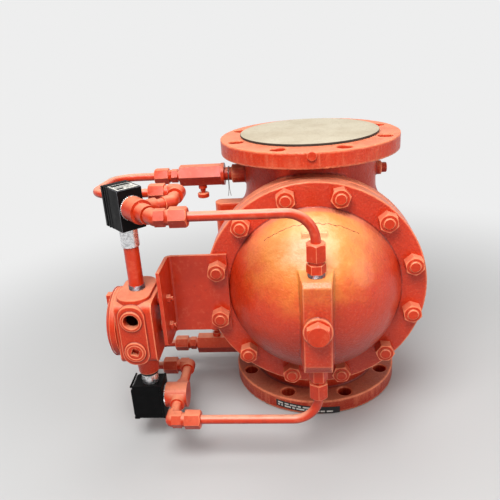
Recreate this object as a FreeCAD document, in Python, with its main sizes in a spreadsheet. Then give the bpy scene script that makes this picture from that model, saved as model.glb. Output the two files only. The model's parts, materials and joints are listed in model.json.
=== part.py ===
import FreeCAD, Part
import math
import os
import re

import Sketcher
from FreeCAD import Placement, Rotation, Vector

# A preset stop valve: a 6 inch flanged globe body with a spring-loaded piston under a domed
# cover, and two solenoid pilot valves with needle valves that load and vent the cover.
# Frame: +Z up along the flow axis, origin at the centre of the bottom flange face.
# The cover faces -Y, and its axis runs along Y. All sizes are in millimetres.

doc = FreeCAD.newDocument("PresetStopValve")
sheet = doc.addObject("Spreadsheet::Sheet", "Sizes")

DRIVING_SIZES = {
    # flanged body, class 150 in 6 inch
    "flange_diameter": 279.4,
    "flange_thickness": 25.4,
    "raised_face_diameter": 215.9,
    "raised_face_height": 1.6,
    "bolt_circle_diameter": 241.3,
    "bolt_hole_diameter": 22.2,
    "top_bolt_hole_diameter": 22.6,
    "bolt_hole_count": 8,
    "port_bore_diameter": 152.4,
    "face_to_face": 432.0,
    "neck_diameter": 207.0,
    "bulb_diameter": 296.0,
    "bulb_wall": 14.0,
    "neck_blend_radius": 45.0,
    "cover_axis_height": 229.4,
    "barrel_diameter": 264.0,
    "barrel_bore_diameter": 216.0,
    "body_flange_thickness": 25.0,
    "cover_joint_reach": 119.0,
    "deck_setback": 4.0,
    "deck_thickness": 16.0,
    "web_half_height": 60.0,
    "web_thickness": 15.0,
    "inlet_turn_height": 85.0,
    "inlet_turn_diameter": 148.0,
    "side_rib_reach": 157.0,
    "side_rib_width": 28.0,
    "side_rib_half_height": 95.5,
    # domed cover, its gasket and its twelve studs
    "gasket_thickness": 1.5,
    "gasket_bore_diameter": 190.0,
    "gasket_rim_gap": 1.0,
    "cover_flange_thickness": 23.5,
    "dome_base_diameter": 250.0,
    "dome_depth": 100.0,
    "dome_wall": 14.0,
    "dome_lug_width": 34.0,
    "dome_lug_projection": 52.0,
    "dome_lug_drop": 18.4,
    "dome_lug_depth": 26.0,
    "nut_dome_gap": 5.77,
    "nut_rim_gap": 1.86,
    "cover_stud_count": 12,
    "cover_stud_diameter": 15.9,
    "stud_thread_clearance": 0.05,
    "stud_hole_clearance": 0.8,
    "stud_tail": 2.5,
    "stud_root_gap": 2.0,
    "cover_nut_width": 25.0,
    "cover_nut_height": 15.9,
    "boss_front_width": 36.4,
    "boss_root_width": 54.4,
    "boss_half_height": 66.0,
    "boss_projection": 124.0,
    "boss_chamfer": 6.0,
    "boss_collar_diameter": 39.0,
    "boss_collar_height": 4.0,
    "port_line_projection": 98.0,
    "pipe_port_depth": 16.0,
    "pilot_drill_diameter": 12.0,
    "cover_plug_width": 28.6,
    "cover_plug_head": 12.0,
    "hexagon_top_share": 0.96,
    "hexagon_chamfer_share": 0.09,
    "cover_plug_thread_diameter": 26.0,
    "cover_plug_thread_length": 16.0,
    # seat, cylinder and piston inside
    "seat_bore_diameter": 124.0,
    "seat_thread_diameter": 144.0,
    "seat_flange_diameter": 160.0,
    "seat_flange_thickness": 7.0,
    "seat_lip_height": 2.0,
    "seat_lip_width": 4.0,
    "running_gap": 0.05,
    "body_gap": 0.3,
    "thread_gap": 0.03,
    "liner_bore_diameter": 184.0,
    "liner_wall": 8.0,
    "liner_flange_thickness": 10.0,
    "liner_flange_width": 17.0,
    "liner_length": 80.0,
    "piston_crown_diameter": 156.0,
    "piston_crown_thickness": 14.0,
    "piston_rim_height": 4.0,
    "piston_skirt_length": 55.0,
    "piston_shoulder_reach": 45.0,
    "piston_wall": 9.0,
    "piston_ring_width": 5.0,
    "piston_ring_depth": 5.0,
    "piston_ring_setback": 10.0,
    "piston_ring_pitch": 18.0,
    "seal_disc_thickness": 7.0,
    "seal_disc_diameter": 142.0,
    "retainer_diameter": 108.0,
    "retainer_thickness": 8.0,
    "retainer_bolt_diameter": 16.0,
    "retainer_bolt_width": 24.0,
    "retainer_bolt_head": 10.0,
    "spring_diameter": 76.0,
    "spring_wire_diameter": 7.0,
    "spring_turns": 9,
    "spring_seat_reach": 196.0,
    # pipe and tube sizes of the pilot line
    "pipe_diameter": 21.3,
    "pipe_bore_diameter": 13.8,
    "tube_diameter": 12.7,
    "tube_wall": 1.2,
    "tube_nut_width": 24.0,
    "tube_nut_length": 23.0,
    "tube_nose_diameter": 16.5,
    "tube_nose_length": 12.0,
    "tube_grip": 10.0,
    "fitting_collar_diameter": 20.0,
    "fitting_collar_length": 5.0,
    "fitting_hex_width": 22.2,
    "upper_connector_hex": 12.0,
    "lower_connector_hex": 18.0,
    "connector_neck": 5.0,
    "upper_line_height": 380.0,
    "lower_line_height": 73.0,
    "cover_tube_bend": 37.0,
    "loop_bend": 34.0,
    "upper_loop_lead": 65.0,
    "lower_loop_lead": 45.0,
    # needle valves beside the two necks
    "upper_needle_height": 371.0,
    "lower_needle_height": 54.0,
    "neck_boss_reach": 126.0,
    "neck_boss_diameter": 30.0,
    "plug_boss_diameter": 22.0,
    "plug_boss_setback": 13.0,
    "neck_port_depth": 18.0,
    "port_floor_gap": 2.0,
    "needle_body_reach": 143.0,
    "needle_body_length": 68.0,
    "needle_body_width": 31.0,
    "needle_ring_diameter": 36.0,
    "needle_ring_width": 5.0,
    "needle_port_depth": 16.0,
    "needle_connector_width": 20.0,
    "needle_connector_neck": 4.0,
    "needle_connector_hex": 10.0,
    "needle_stem_setback": 33.0,
    "needle_bore_diameter": 9.0,
    "needle_way_diameter": 7.0,
    "needle_tip_lift": 0.5,
    "gland_diameter": 14.0,
    "gland_length": 7.0,
    "gland_spigot_diameter": 10.0,
    "knob_diameter": 19.0,
    "knob_height": 8.0,
    "knob_chamfer": 1.0,
    "knob_hole_diameter": 6.0,
    "knob_hub_length": 3.0,
    "stem_ring_reach": 17.0,
    "stem_ring_width": 1.4,
    "stem_groove_width": 2.0,
    "stem_groove_depth": 1.25,
    "knob_reach": 38.0,
    "stem_end_recess": 1.0,
    "neck_plug_width": 14.3,
    "neck_plug_head": 8.0,
    "neck_plug_thread_diameter": 13.0,
    "rim_plug_width": 12.7,
    "rim_plug_head": 3.0,
    "rim_plug_thread_diameter": 9.0,
    "rim_plug_depth": 14.0,
    # junction box, its bracket and the conduit
    "box_axis_offset": 36.6,
    "box_axis_front": 182.0,
    "box_axis_height": 204.0,
    "box_half_height": 47.0,
    "box_depth": 90.0,
    "box_wall": 5.5,
    "box_corner_radius": 12.0,
    "box_pad_height": 5.0,
    "top_pad_width": 47.0,
    "top_pad_length": 82.0,
    "front_pad_height": 3.0,
    "front_pad_width": 38.0,
    "front_pad_length": 92.0,
    "hub_pitch": 48.0,
    "hub_ring_width": 4.5,
    "hub_ring_height": 3.0,
    "bottom_hub_length": 38.0,
    "bottom_hub_diameter": 36.0,
    "bottom_hub_end_diameter": 30.0,
    "box_plug_length": 12.0,
    "box_plug_socket": 10.0,
    "box_plug_socket_depth": 8.0,
    "box_cover_diameter": 100.0,
    "box_cover_thickness": 14.0,
    "box_cover_neck_diameter": 68.0,
    "box_cover_neck_length": 12.0,
    "box_cover_neck_gap": 2.0,
    "box_cover_wall": 6.0,
    "box_cover_lug_width": 12.0,
    "box_cover_lug_length": 24.0,
    "box_cover_lug_height": 7.0,
    "box_ring_wire": 3.0,
    "box_mouth_offset": 24.0,
    "bracket_thickness": 5.0,
    "bracket_left_reach": 216.4,
    "bracket_dome_gap": 1.0,
    "bracket_bend_radius": 5.0,
    "bracket_bottom_height": 167.0,
    "bracket_top_height": 289.5,
    "bracket_leg_front": 208.5,
    "bracket_corner_cut_width": 21.0,
    "bracket_corner_cut_height": 11.0,
    "bracket_bolt_diameter": 6.35,
    "bracket_bolt_pitch": 43.0,
    "bracket_bolt_height": 216.5,
    "bracket_bolt_reach": 14.0,
    "bracket_nut_width": 11.1,
    "bracket_nut_height": 5.5,
    "box_foot_diameter": 18.0,
    "box_foot_length": 8.0,
    # solenoid pilot valves
    "coil_length": 48.0,
    "coil_width": 36.0,
    "coil_height": 57.0,
    "coil_drop": 2.3,
    "coil_lead": 20.0,
    "coil_end_radius": 8.0,
    "coil_hub_diameter": 25.5,
    "coil_hub_spigot": 18.0,
    "coil_hub_grip": 8.0,
    "hub_thread_depth": 14.0,
    "upper_hub_bottom": 321.0,
    "coil_grommet_diameter": 27.0,
    "coil_grommet_length": 4.4,
    "coil_bore_diameter": 15.0,
    "core_tube_wall": 1.0,
    "core_tube_length": 44.0,
    "plunger_length": 22.0,
    "plunger_stroke": 2.5,
    "plunger_pocket": 8.0,
    "plunger_cone_length": 4.4,
    "plunger_spring_wire": 1.0,
    "plunger_spring_diameter": 8.0,
    "plunger_spring_turns": 5,
    "retaining_ring_diameter": 34.5,
    "retaining_ring_thickness": 2.5,
    "upper_pilot_heading": 47.5,
    "upper_pilot_diameter": 33.0,
    "upper_pilot_length": 25.5,
    "upper_nose_diameter": 25.0,
    "upper_nose_length": 18.0,
    "upper_side_port_setback": 16.0,
    "upper_side_corner_reach": 52.0,
    "lower_pilot_diameter": 38.0,
    "lower_pilot_length": 33.0,
    "lower_port_setback": 23.0,
    "core_tube_entry": 8.0,
    "pilot_chamber_diameter": 22.0,
    "pilot_chamber_overlap": 3.0,
    "pilot_seat_setback": 18.6,
    "pilot_orifice_diameter": 5.0,
    "pilot_inlet_diameter": 6.0,
    "pilot_cross_diameter": 4.0,
    "upper_rear_line_front": 128.0,
    "lower_rear_line_front": 102.0,
    "pilot_stub_diameter": 15.5,
    "pilot_thread_diameter": 13.7,
    "pilot_boss_diameter": 22.0,
    "pilot_boss_reach": 27.0,
    "pilot_thread_depth": 12.0,
    "elbow_diameter": 21.0,
    "elbow_bore_diameter": 10.0,
    "elbow_leg": 13.5,
    "side_elbow_diameter": 19.0,
    "side_elbow_bore_diameter": 9.0,
    "elbow_socket_diameter": 23.0,
    "elbow_socket_length": 22.0,
    # protection disc and marking strip
    "transit_disc_diameter": 215.9,
    "transit_disc_thickness": 3.2,
    "marking_strip_height": 12.0,
    "marking_strip_thickness": 0.4,
    "marking_strip_left": 66.4,
    "marking_strip_right": 37.0,
    "marking_strip_left_height": 7.6,
    "marking_strip_right_height": 0.8,
    "lock_wire_diameter": 1.2,
    "lock_wire_tail": 34.0,
    "lock_wire_setback": 5.0,
}

for row, (name, number) in enumerate(DRIVING_SIZES.items(), start=1):
    sheet.set("A%d" % row, name)
    sheet.set("B%d" % row, str(number))
    sheet.setAlias("B%d" % row, name)
doc.recompute()


def size(name):
    """A driving size, read back from the sheet."""
    return float(sheet.get(name))


def formula(text):
    """A sheet formula: every size name in the text gets the sheet's name before it."""
    return re.sub(r"\b[a-z]+(?:_[a-z]+)+\b", r"Sizes.\g<0>", text)


# Directions that pieces are built along
UP = Vector(0, 0, 1)
DOWN = Vector(0, 0, -1)
FRONT = Vector(0, -1, 0)
BACK = Vector(0, 1, 0)
LEFT = Vector(-1, 0, 0)
RIGHT = Vector(1, 0, 0)

# Distances in front of the flow axis, as formulas
COVER_BACK = "(cover_joint_reach + gasket_thickness)"
COVER_FRONT = "(cover_joint_reach + gasket_thickness + cover_flange_thickness)"
BOSS_FRONT = "(cover_joint_reach + gasket_thickness + cover_flange_thickness + boss_projection)"
PORT_LINE = "(cover_joint_reach + gasket_thickness + cover_flange_thickness + port_line_projection)"
DOME_RADIUS = "((dome_base_diameter * dome_base_diameter / 4 + dome_depth * dome_depth) / (2 * dome_depth))"

# The nuts stand on the cover's rim between the dome and the edge
STUD_CIRCLE = "(dome_base_diameter + 2 * cover_nut_width / sqrt(3) + 2 * nut_dome_gap)"
COVER_EDGE = "(dome_base_diameter + 4 * cover_nut_width / sqrt(3) + 2 * nut_dome_gap + 2 * nut_rim_gap)"

# Distances to the left of the flow axis: the bracket beside the dome, and the box that it carries
BRACKET_RIGHT = "(dome_base_diameter / 2 + bracket_dome_gap)"
BOX_AXIS = "(bracket_left_reach + box_axis_offset)"
BOX_MOUTH = "(bracket_left_reach + box_axis_offset + box_mouth_offset)"

SEAT_FACE = "(seat_flange_thickness - deck_setback)"
CROWN = "(seat_flange_thickness - deck_setback + body_gap + seal_disc_thickness)"
COVER_AXIS = ("0", "0", "cover_axis_height")
BOX_TOP = "(box_axis_height + box_half_height)"
BOX_BOTTOM = "(box_axis_height - box_half_height)"
BOLT_HEIGHTS = ["bracket_bolt_height %s bracket_bolt_pitch / 2" % sign for sign in "+-"]
RING_INNER = "(box_cover_neck_diameter / 2 + box_ring_wire / 2)"
RING_OUTER = "(box_cover_neck_diameter / 2 + box_ring_wire * 1.5)"

CORE_STOP = ("(core_tube_length - core_tube_entry - retaining_ring_thickness + pilot_seat_setback"
             " - body_gap - plunger_length - plunger_stroke - body_gap)")
LOWER_HUB_LENGTH = ("(box_axis_height - box_half_height - bottom_hub_length - coil_grommet_length"
                    " - lower_line_height + coil_drop - coil_height / 2)")

# Share of a width that two rounded edges take together, so that a flat strip stays between them
ROUND_SHARE = 0.45

nodes = []


def bind(piece, bindings):
    """Ties properties of a piece to formulas."""
    for name, text in bindings.items():
        piece.setExpression(name, formula(text))
    return piece


def place(piece, base, direction=UP, spin=0.0):
    """Stands a piece's own Z axis along a direction, with its base point on three formulas."""
    turn = Rotation(UP, direction).multiply(Rotation(UP, spin))
    piece.Placement = Placement(Vector(0, 0, 0), turn)
    return bind(piece, {"Placement.Base." + axis: text for axis, text in zip("xyz", base)})


def cylinder(diameter, length, base, direction=UP):
    piece = doc.addObject("Part::Cylinder", "cylinder")
    bind(piece, {"Radius": "(%s) / 2" % diameter, "Height": length})
    return place(piece, base, direction)


def hexagon(width, length, base, direction=UP, spin=0.0):
    """A hexagonal bar, sized across its flats."""
    piece = doc.addObject("Part::Prism", "hexagon")
    piece.Polygon = 6
    bind(piece, {"Circumradius": "(%s) / sqrt(3)" % width, "Height": length})
    return place(piece, base, direction, spin)


def cone(start_diameter, end_diameter, length, base, direction=UP):
    piece = doc.addObject("Part::Cone", "cone")
    bind(piece, {"Radius1": "(%s) / 2" % start_diameter, "Radius2": "(%s) / 2" % end_diameter,
                 "Height": length})
    return place(piece, base, direction)


def sphere(diameter, centre):
    piece = doc.addObject("Part::Sphere", "sphere")
    bind(piece, {"Radius": "(%s) / 2" % diameter})
    return place(piece, centre)


def block(width, depth, height, corner, spin=0.0):
    piece = doc.addObject("Part::Box", "block")
    bind(piece, {"Length": width, "Width": depth, "Height": height})
    return place(piece, corner, UP, spin)


def fuse(*pieces):
    joined = doc.addObject("Part::MultiFuse", "joined")
    joined.Shapes = list(pieces)
    joined.Refine = True
    return joined


def common(first, second):
    shared = doc.addObject("Part::MultiCommon", "shared")
    shared.Shapes = [first, second]
    return shared


def cut(base, *tools):
    """Takes tools away from a base. Each tool runs 1 mm or more past the face that it opens."""
    result = doc.addObject("Part::Cut", "trimmed")
    result.Base = base
    result.Tool = tools[0] if len(tools) == 1 else fuse(*tools)
    return result


def rounded(piece, direction, radius, wanted=lambda spot: True):
    """Rounds the straight edges that run along a direction and whose middles are wanted."""
    doc.recompute()
    softened = doc.addObject("Part::Fillet", "rounded")
    softened.Base = piece
    found = []
    for index, edge in enumerate(piece.Shape.Edges, start=1):
        if len(edge.Vertexes) == 2 and isinstance(edge.Curve, Part.Line):
            along = edge.Vertexes[1].Point - edge.Vertexes[0].Point
            if along.cross(direction).Length < 1e-6 * along.Length and wanted(edge.CenterOfMass):
                found.append((index, radius, radius))
    softened.Edges = found
    return softened


def moved(base, direction, distance):
    """A base point moved along a direction by a formula's distance."""
    return tuple(text if abs(part) < 1e-9 else "%s + (%s) * %.9f" % (text, distance, part)
                 for text, part in zip(base, tuple(direction)))


def mark(base):
    """The place that three formulas give, as numbers."""
    spot = doc.addObject("Part::Vertex", "mark")
    bind(spot, dict(zip("XYZ", base)))
    spot.recompute()
    return Vector(spot.X.Value, spot.Y.Value, spot.Z.Value)


def worked_out(text):
    """The length that one formula gives, as a number."""
    return mark((text, "0", "0")).x


def group(label, pieces):
    """Several separate pieces of one kind under one name."""
    bundle = doc.addObject("Part::Compound", label)
    bundle.Links = pieces
    return node(bundle, label)


def node(piece, label):
    """Registers a finished piece under the name of its file."""
    piece.Label = label
    nodes.append(piece)
    return piece


def solid_node(shape, label):
    """A piece whose shape is worked out here from the sheet's sizes."""
    piece = doc.addObject("Part::Feature", label)
    piece.Shape = shape
    return node(piece, label)


def origin_plane(body, role):
    return next(item for item in body.Origin.OriginFeatures if item.Role == role)


def hold_corners(sketch, corners):
    """Draws a closed outline and holds each corner by two formulas."""
    count = len(corners)
    for corner in range(count):
        angle = 2 * math.pi * corner / count
        after = 2 * math.pi * (corner + 1) / count
        start = Vector(60 + 40 * math.cos(angle), 40 * math.sin(angle), 0)
        end = Vector(60 + 40 * math.cos(after), 40 * math.sin(after), 0)
        sketch.addGeometry(Part.LineSegment(start, end), False)
    for corner in range(count):
        sketch.addConstraint(Sketcher.Constraint("Coincident", corner, 2, (corner + 1) % count, 1))
    for corner, (across, along) in enumerate(corners):
        for kind, text in (("DistanceX", across), ("DistanceY", along)):
            index = sketch.addConstraint(Sketcher.Constraint(kind, -1, 1, corner, 1, 10.0))
            sketch.setExpression("Constraints[%d]" % index, formula(text))


def turned(label, profile, base, direction=UP):
    """A body turned on a lathe about its own Z axis.

    The profile is a closed outline of (radius, height) corners, each held by two formulas."""
    body = doc.addObject("PartDesign::Body", "turned_" + label)
    sketch = body.newObject("Sketcher::SketchObject", "profile_" + label)
    sketch.AttachmentSupport = (origin_plane(body, "XZ_Plane"), [""])
    sketch.MapMode = "FlatFace"
    hold_corners(sketch, profile)
    turn = body.newObject("PartDesign::Revolution", "turn_" + label)
    turn.Profile = sketch
    turn.ReferenceAxis = (sketch, ["V_Axis"])
    turn.Angle = 360.0
    body.Tip = turn
    return place(body, base, direction)


def ring(label, inner, outer, start, end, base, direction=UP):
    """A plain turned ring between two diameters and two heights."""
    return turned(label, [("(%s) / 2" % inner, start), ("(%s) / 2" % outer, start),
                          ("(%s) / 2" % outer, end), ("(%s) / 2" % inner, end)], base, direction)


def copies(shape, placements):
    """Separate copies of one shape, as one group."""
    return Part.makeCompound([shape.transformed(spot.toMatrix()) for spot in placements])


def flow_valve_body():
    """The cast globe body: two flanges, necks, bulb, barrel and the web that carries the seat."""
    axis = ("0", "0", "cover_axis_height")
    neck = cylinder("neck_diameter", "face_to_face", ("0", "0", "0"))
    necks = fuse(neck, sphere("bulb_diameter", axis))
    doc.recompute()
    blended = doc.addObject("Part::Fillet", "blended_necks")
    blended.Base = necks
    blended.Edges = [(index, size("neck_blend_radius"), size("neck_blend_radius"))
                     for index in neck_edges(necks.Shape)]
    plates = [flange_plate("bottom_flange_plate", ("0", "0", "0"), UP),
              flange_plate("top_flange_plate", ("0", "0", "face_to_face"), DOWN)]
    barrel = cylinder("barrel_diameter", "cover_joint_reach", axis, FRONT)
    flange = cylinder(COVER_EDGE, "body_flange_thickness",
                      ("0", "-cover_joint_reach + body_flange_thickness", "cover_axis_height"), FRONT)
    rib = block("side_rib_reach - neck_diameter / 4", "side_rib_width", "2 * side_rib_half_height",
                ("-side_rib_reach", "-side_rib_width / 2", "cover_axis_height - side_rib_half_height"))
    rounded_rib = rounded(rib, UP, size("side_rib_width") * ROUND_SHARE,
                          lambda spot: spot.x < -size("side_rib_reach") + 1.0)
    bosses = [cylinder("neck_boss_diameter", "neck_boss_reach - neck_diameter / 4",
                       ("-neck_diameter / 4", "0", height), LEFT)
              for height in ("upper_needle_height", "lower_needle_height")]
    plug_boss = cylinder("plug_boss_diameter", "neck_boss_reach - plug_boss_setback - neck_diameter / 4",
                         ("neck_diameter / 4", "0", "upper_needle_height"), RIGHT)
    outside = fuse(blended, *plates, barrel, flange, rounded_rib, plug_boss, *bosses)
    beyond = cylinder(COVER_EDGE, "bulb_diameter / 2", ("0", "-cover_joint_reach", "cover_axis_height"),
                      FRONT)
    hollow = fuse(*water_way(axis))
    drilled = cut(outside, beyond, hollow, flange_holes(), *body_ports())
    return node(drilled, "valve_body")


def flange_plate(label, base, inward):
    """One flange with its raised face, from its joint face inwards."""
    return turned(label, [
        ("0", "0"),
        ("raised_face_diameter / 2", "0"),
        ("raised_face_diameter / 2", "raised_face_height"),
        ("flange_diameter / 2", "raised_face_height"),
        ("flange_diameter / 2", "flange_thickness"),
        ("0", "flange_thickness"),
    ], base, inward)


def neck_edges(shape):
    """The circles where the necks meet the bulb."""
    found = []
    clear = size("flange_thickness") + 1.0
    for index, edge in enumerate(shape.Edges, start=1):
        box = edge.BoundBox
        if box.ZLength < 0.01 and abs(box.XLength - size("neck_diameter")) < 0.1:
            if clear < box.ZMin < size("face_to_face") - clear:
                found.append(index)
    return found


def water_way(axis):
    """The passages: inlet from below to behind the seat, and from before it up to the outlet."""
    inside = "bulb_diameter - 2 * bulb_wall"
    wide = "2 * bulb_diameter"
    front_chamber = cylinder("barrel_bore_diameter", "cover_joint_reach + deck_setback + 1",
                             ("0", "deck_setback", "cover_axis_height"), FRONT)
    behind = ("-bulb_diameter", "deck_setback + deck_thickness", "cover_axis_height - bulb_diameter")
    rear_chamber = common(sphere(inside, axis),
                          block(wide, "bulb_diameter", "bulb_diameter + web_half_height", behind))
    above = ("-bulb_diameter", "-bulb_diameter", "cover_axis_height + web_half_height + web_thickness")
    upper_chamber = common(sphere(inside, axis), block(wide, wide, "bulb_diameter", above))
    inlet = cylinder("port_bore_diameter", "inlet_turn_height + 1", ("0", "0", "-1"))
    turn = common(cylinder("inlet_turn_diameter", "cover_axis_height - inlet_turn_height",
                           ("0", "0", "inlet_turn_height - 1")),
                  block(wide, "bulb_diameter", "bulb_diameter + web_half_height", behind))
    outlet = cylinder("port_bore_diameter", "face_to_face - cover_axis_height - web_half_height",
                      ("0", "0", "cover_axis_height + web_half_height + web_thickness + 1"))
    seat_hole = cylinder("seat_thread_diameter + 2 * thread_gap", "deck_thickness + 2",
                         ("0", "deck_setback + deck_thickness + 1", "cover_axis_height"), FRONT)
    liner_seat = cylinder("liner_bore_diameter + 2 * liner_wall + 2 * liner_flange_width + 2 * body_gap",
                          "liner_flange_thickness + 1",
                          ("0", "-cover_joint_reach + liner_flange_thickness", "cover_axis_height"),
                          FRONT)
    return (front_chamber, rear_chamber, upper_chamber, inlet, turn, outlet, seat_hole, liner_seat)


def circle_spots(count, diameter, first_angle):
    """Angles and places evenly round a circle about the origin."""
    spots = []
    for index in range(int(count)):
        angle = first_angle + 2 * math.pi * index / int(count)
        spots.append((angle, Vector(diameter / 2 * math.cos(angle), diameter / 2 * math.sin(angle), 0)))
    return spots


def flange_holes():
    """Bolt holes of both flanges, straddling the centre lines, and the stud holes of the cover joint."""
    count = size("bolt_hole_count")
    depth = size("flange_thickness") + 2.0
    drills = []
    for _, spot in circle_spots(count, size("bolt_circle_diameter"), math.pi / count):
        for diameter, floor in ((size("bolt_hole_diameter"), -1.0),
                                (size("top_bolt_hole_diameter"), size("face_to_face") - depth + 1.0)):
            drills.append(Part.makeCylinder(diameter / 2, depth, spot + Vector(0, 0, floor)))
    stud_radius = size("cover_stud_diameter") / 2 + size("stud_thread_clearance")
    for spot in stud_spots():
        start = Vector(spot.x, -size("cover_joint_reach") + size("body_flange_thickness") + 1.0, spot.z)
        drills.append(Part.makeCylinder(stud_radius, size("body_flange_thickness") + 2.0, start, FRONT))
    holes = doc.addObject("Part::Feature", "flange_holes")
    holes.Shape = Part.makeCompound(drills)
    return holes


def stud_spots():
    """Places of the cover studs in X and Z; two studs straddle each centre line."""
    count = size("cover_stud_count")
    middle = size("cover_axis_height")
    return [Vector(spot.x, 0, spot.y + middle)
            for _, spot in circle_spots(count, worked_out(STUD_CIRCLE), math.pi / count)]


def body_ports():
    """Drilled ports of the necks: two for the needle valves, one plugged, and one in the top flange rim."""
    ports = []
    for height in ("upper_needle_height", "lower_needle_height"):
        ports.append(cylinder("pipe_diameter + 2 * thread_gap", "neck_port_depth + 1",
                              ("-neck_boss_reach + neck_port_depth", "0", height), LEFT))
        ports.append(cylinder("pilot_drill_diameter", "neck_boss_reach - port_bore_diameter / 4",
                              ("-port_bore_diameter / 4", "0", height), LEFT))
    plug_face = "(neck_boss_reach - plug_boss_setback)"
    ports.append(cylinder("neck_plug_thread_diameter + 2 * thread_gap", "neck_port_depth + 1",
                          (plug_face + " - neck_port_depth", "0", "upper_needle_height"), RIGHT))
    ports.append(cylinder("pilot_drill_diameter / 2", plug_face + " - port_bore_diameter / 4",
                          ("port_bore_diameter / 4", "0", "upper_needle_height"), RIGHT))
    ports.append(cylinder("rim_plug_thread_diameter + 2 * thread_gap", "rim_plug_depth + 1",
                          ("0", "-flange_diameter / 2 + rim_plug_depth",
                           "face_to_face - flange_thickness / 4"), FRONT))
    return ports


def seat():
    """Screwed seat ring in the web: a threaded sleeve with a flange and a raised seating lip."""
    return node(turned("seat_ring", [
        ("seat_bore_diameter / 2", "-deck_setback - deck_thickness"),
        ("seat_thread_diameter / 2", "-deck_setback - deck_thickness"),
        ("seat_thread_diameter / 2", "-deck_setback"),
        ("seat_flange_diameter / 2", "-deck_setback"),
        ("seat_flange_diameter / 2", SEAT_FACE + " - seat_lip_height"),
        ("seat_bore_diameter / 2 + 2 * seat_lip_width", SEAT_FACE + " - seat_lip_height"),
        ("seat_bore_diameter / 2 + seat_lip_width", SEAT_FACE),
        ("seat_bore_diameter / 2", SEAT_FACE),
    ], COVER_AXIS, FRONT), "seat_ring")


def liner():
    """Cylinder liner: hangs by its flange in the recess of the body's joint face."""
    outer = "liner_bore_diameter / 2 + liner_wall"
    return node(turned("cylinder_liner", [
        ("liner_bore_diameter / 2", "cover_joint_reach - liner_length"),
        (outer, "cover_joint_reach - liner_length"),
        (outer, "cover_joint_reach - liner_flange_thickness"),
        (outer + " + liner_flange_width", "cover_joint_reach - liner_flange_thickness"),
        (outer + " + liner_flange_width", "cover_joint_reach"),
        ("liner_bore_diameter / 2", "cover_joint_reach"),
    ], COVER_AXIS, FRONT), "cylinder_liner")


def piston_group():
    """Main piston and its rings, the soft seal disc, and the plate and bolt that hold the seal."""
    outer = "liner_bore_diameter / 2 - running_gap"
    groove = outer + " - piston_ring_depth"
    inner = groove + " - piston_wall"
    seal_edge = "seal_disc_diameter / 2 + thread_gap"
    bolt_hole = "retainer_bolt_diameter / 2 + thread_gap"
    skirt_end = "piston_shoulder_reach + piston_skirt_length"
    grooves = ["piston_shoulder_reach + piston_ring_setback",
               "piston_shoulder_reach + piston_ring_setback + piston_ring_pitch"]
    outline = [
        (bolt_hole, CROWN),
        (seal_edge, CROWN),
        (seal_edge, CROWN + " - piston_rim_height"),
        ("piston_crown_diameter / 2", CROWN + " - piston_rim_height"),
        ("piston_crown_diameter / 2", CROWN + " + piston_crown_thickness"),
        (outer, "piston_shoulder_reach"),
    ]
    for start in grooves:
        end = start + " + piston_ring_width"
        outline += [(outer, start), (groove, start), (groove, end), (outer, end)]
    outline += [
        (outer, skirt_end),
        (inner, skirt_end),
        (inner, "piston_shoulder_reach + piston_crown_thickness / 2"),
        ("spring_diameter / 2 + spring_wire_diameter", CROWN + " + piston_crown_thickness"),
        (bolt_hole, CROWN + " + piston_crown_thickness"),
    ]
    node(turned("main_piston", outline, COVER_AXIS, FRONT), "main_piston")
    group("piston_rings", [
        ring("piston_ring", "2 * (%s) + 2 * thread_gap" % groove, "liner_bore_diameter - running_gap",
             start + " + thread_gap", start + " + piston_ring_width - thread_gap", COVER_AXIS, FRONT)
        for start in grooves])
    seal_under = "(" + SEAT_FACE + " + body_gap)"
    node(ring("seal_disc", "retainer_bolt_diameter + 2 * thread_gap", "seal_disc_diameter",
              seal_under, CROWN, COVER_AXIS, FRONT), "seal_disc")
    node(ring("seal_retainer", "retainer_bolt_diameter + 2 * thread_gap", "retainer_diameter",
              seal_under + " - retainer_thickness", seal_under, COVER_AXIS, FRONT), "seal_retainer")
    head_base = ("0", "-(%s - retainer_thickness - retainer_bolt_head)" % seal_under,
                 "cover_axis_height")
    head = hexagon("retainer_bolt_width", "retainer_bolt_head", head_base, FRONT)
    shank = cylinder("retainer_bolt_diameter",
                     "retainer_bolt_head + retainer_thickness + seal_disc_thickness"
                     " + piston_crown_thickness", head_base, FRONT)
    node(fuse(head, shank), "retainer_bolt")


def piston_spring():
    """Closing spring between the piston crown and the seat inside the dome."""
    wire = size("spring_wire_diameter") / 2
    start = (size("seat_flange_thickness") - size("deck_setback") + size("body_gap")
             + size("seal_disc_thickness") + size("piston_crown_thickness"))
    length = size("spring_seat_reach") - start - 2 * size("thread_gap")
    solid = coil_spring(size("spring_diameter") / 2, wire, length, int(size("spring_turns")))
    spot = Placement(Vector(0, -start - size("thread_gap"), size("cover_axis_height")), Rotation(UP, FRONT))
    return solid_node(solid.transformed(spot.toMatrix()), "main_spring")


def coil_spring(radius, wire, length, turns):
    """A round-wire compression spring standing on Z, wire ends inside its length."""
    height = length - 2 * wire
    path = Part.makeHelix(height / turns, height, radius)
    section = Part.Wire([Part.makeCircle(wire, Vector(radius, 0, 0), BACK)])
    solid = Part.Wire(path.Edges).makePipeShell([section], True, True)
    solid.translate(Vector(0, 0, wire))
    return solid


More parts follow.
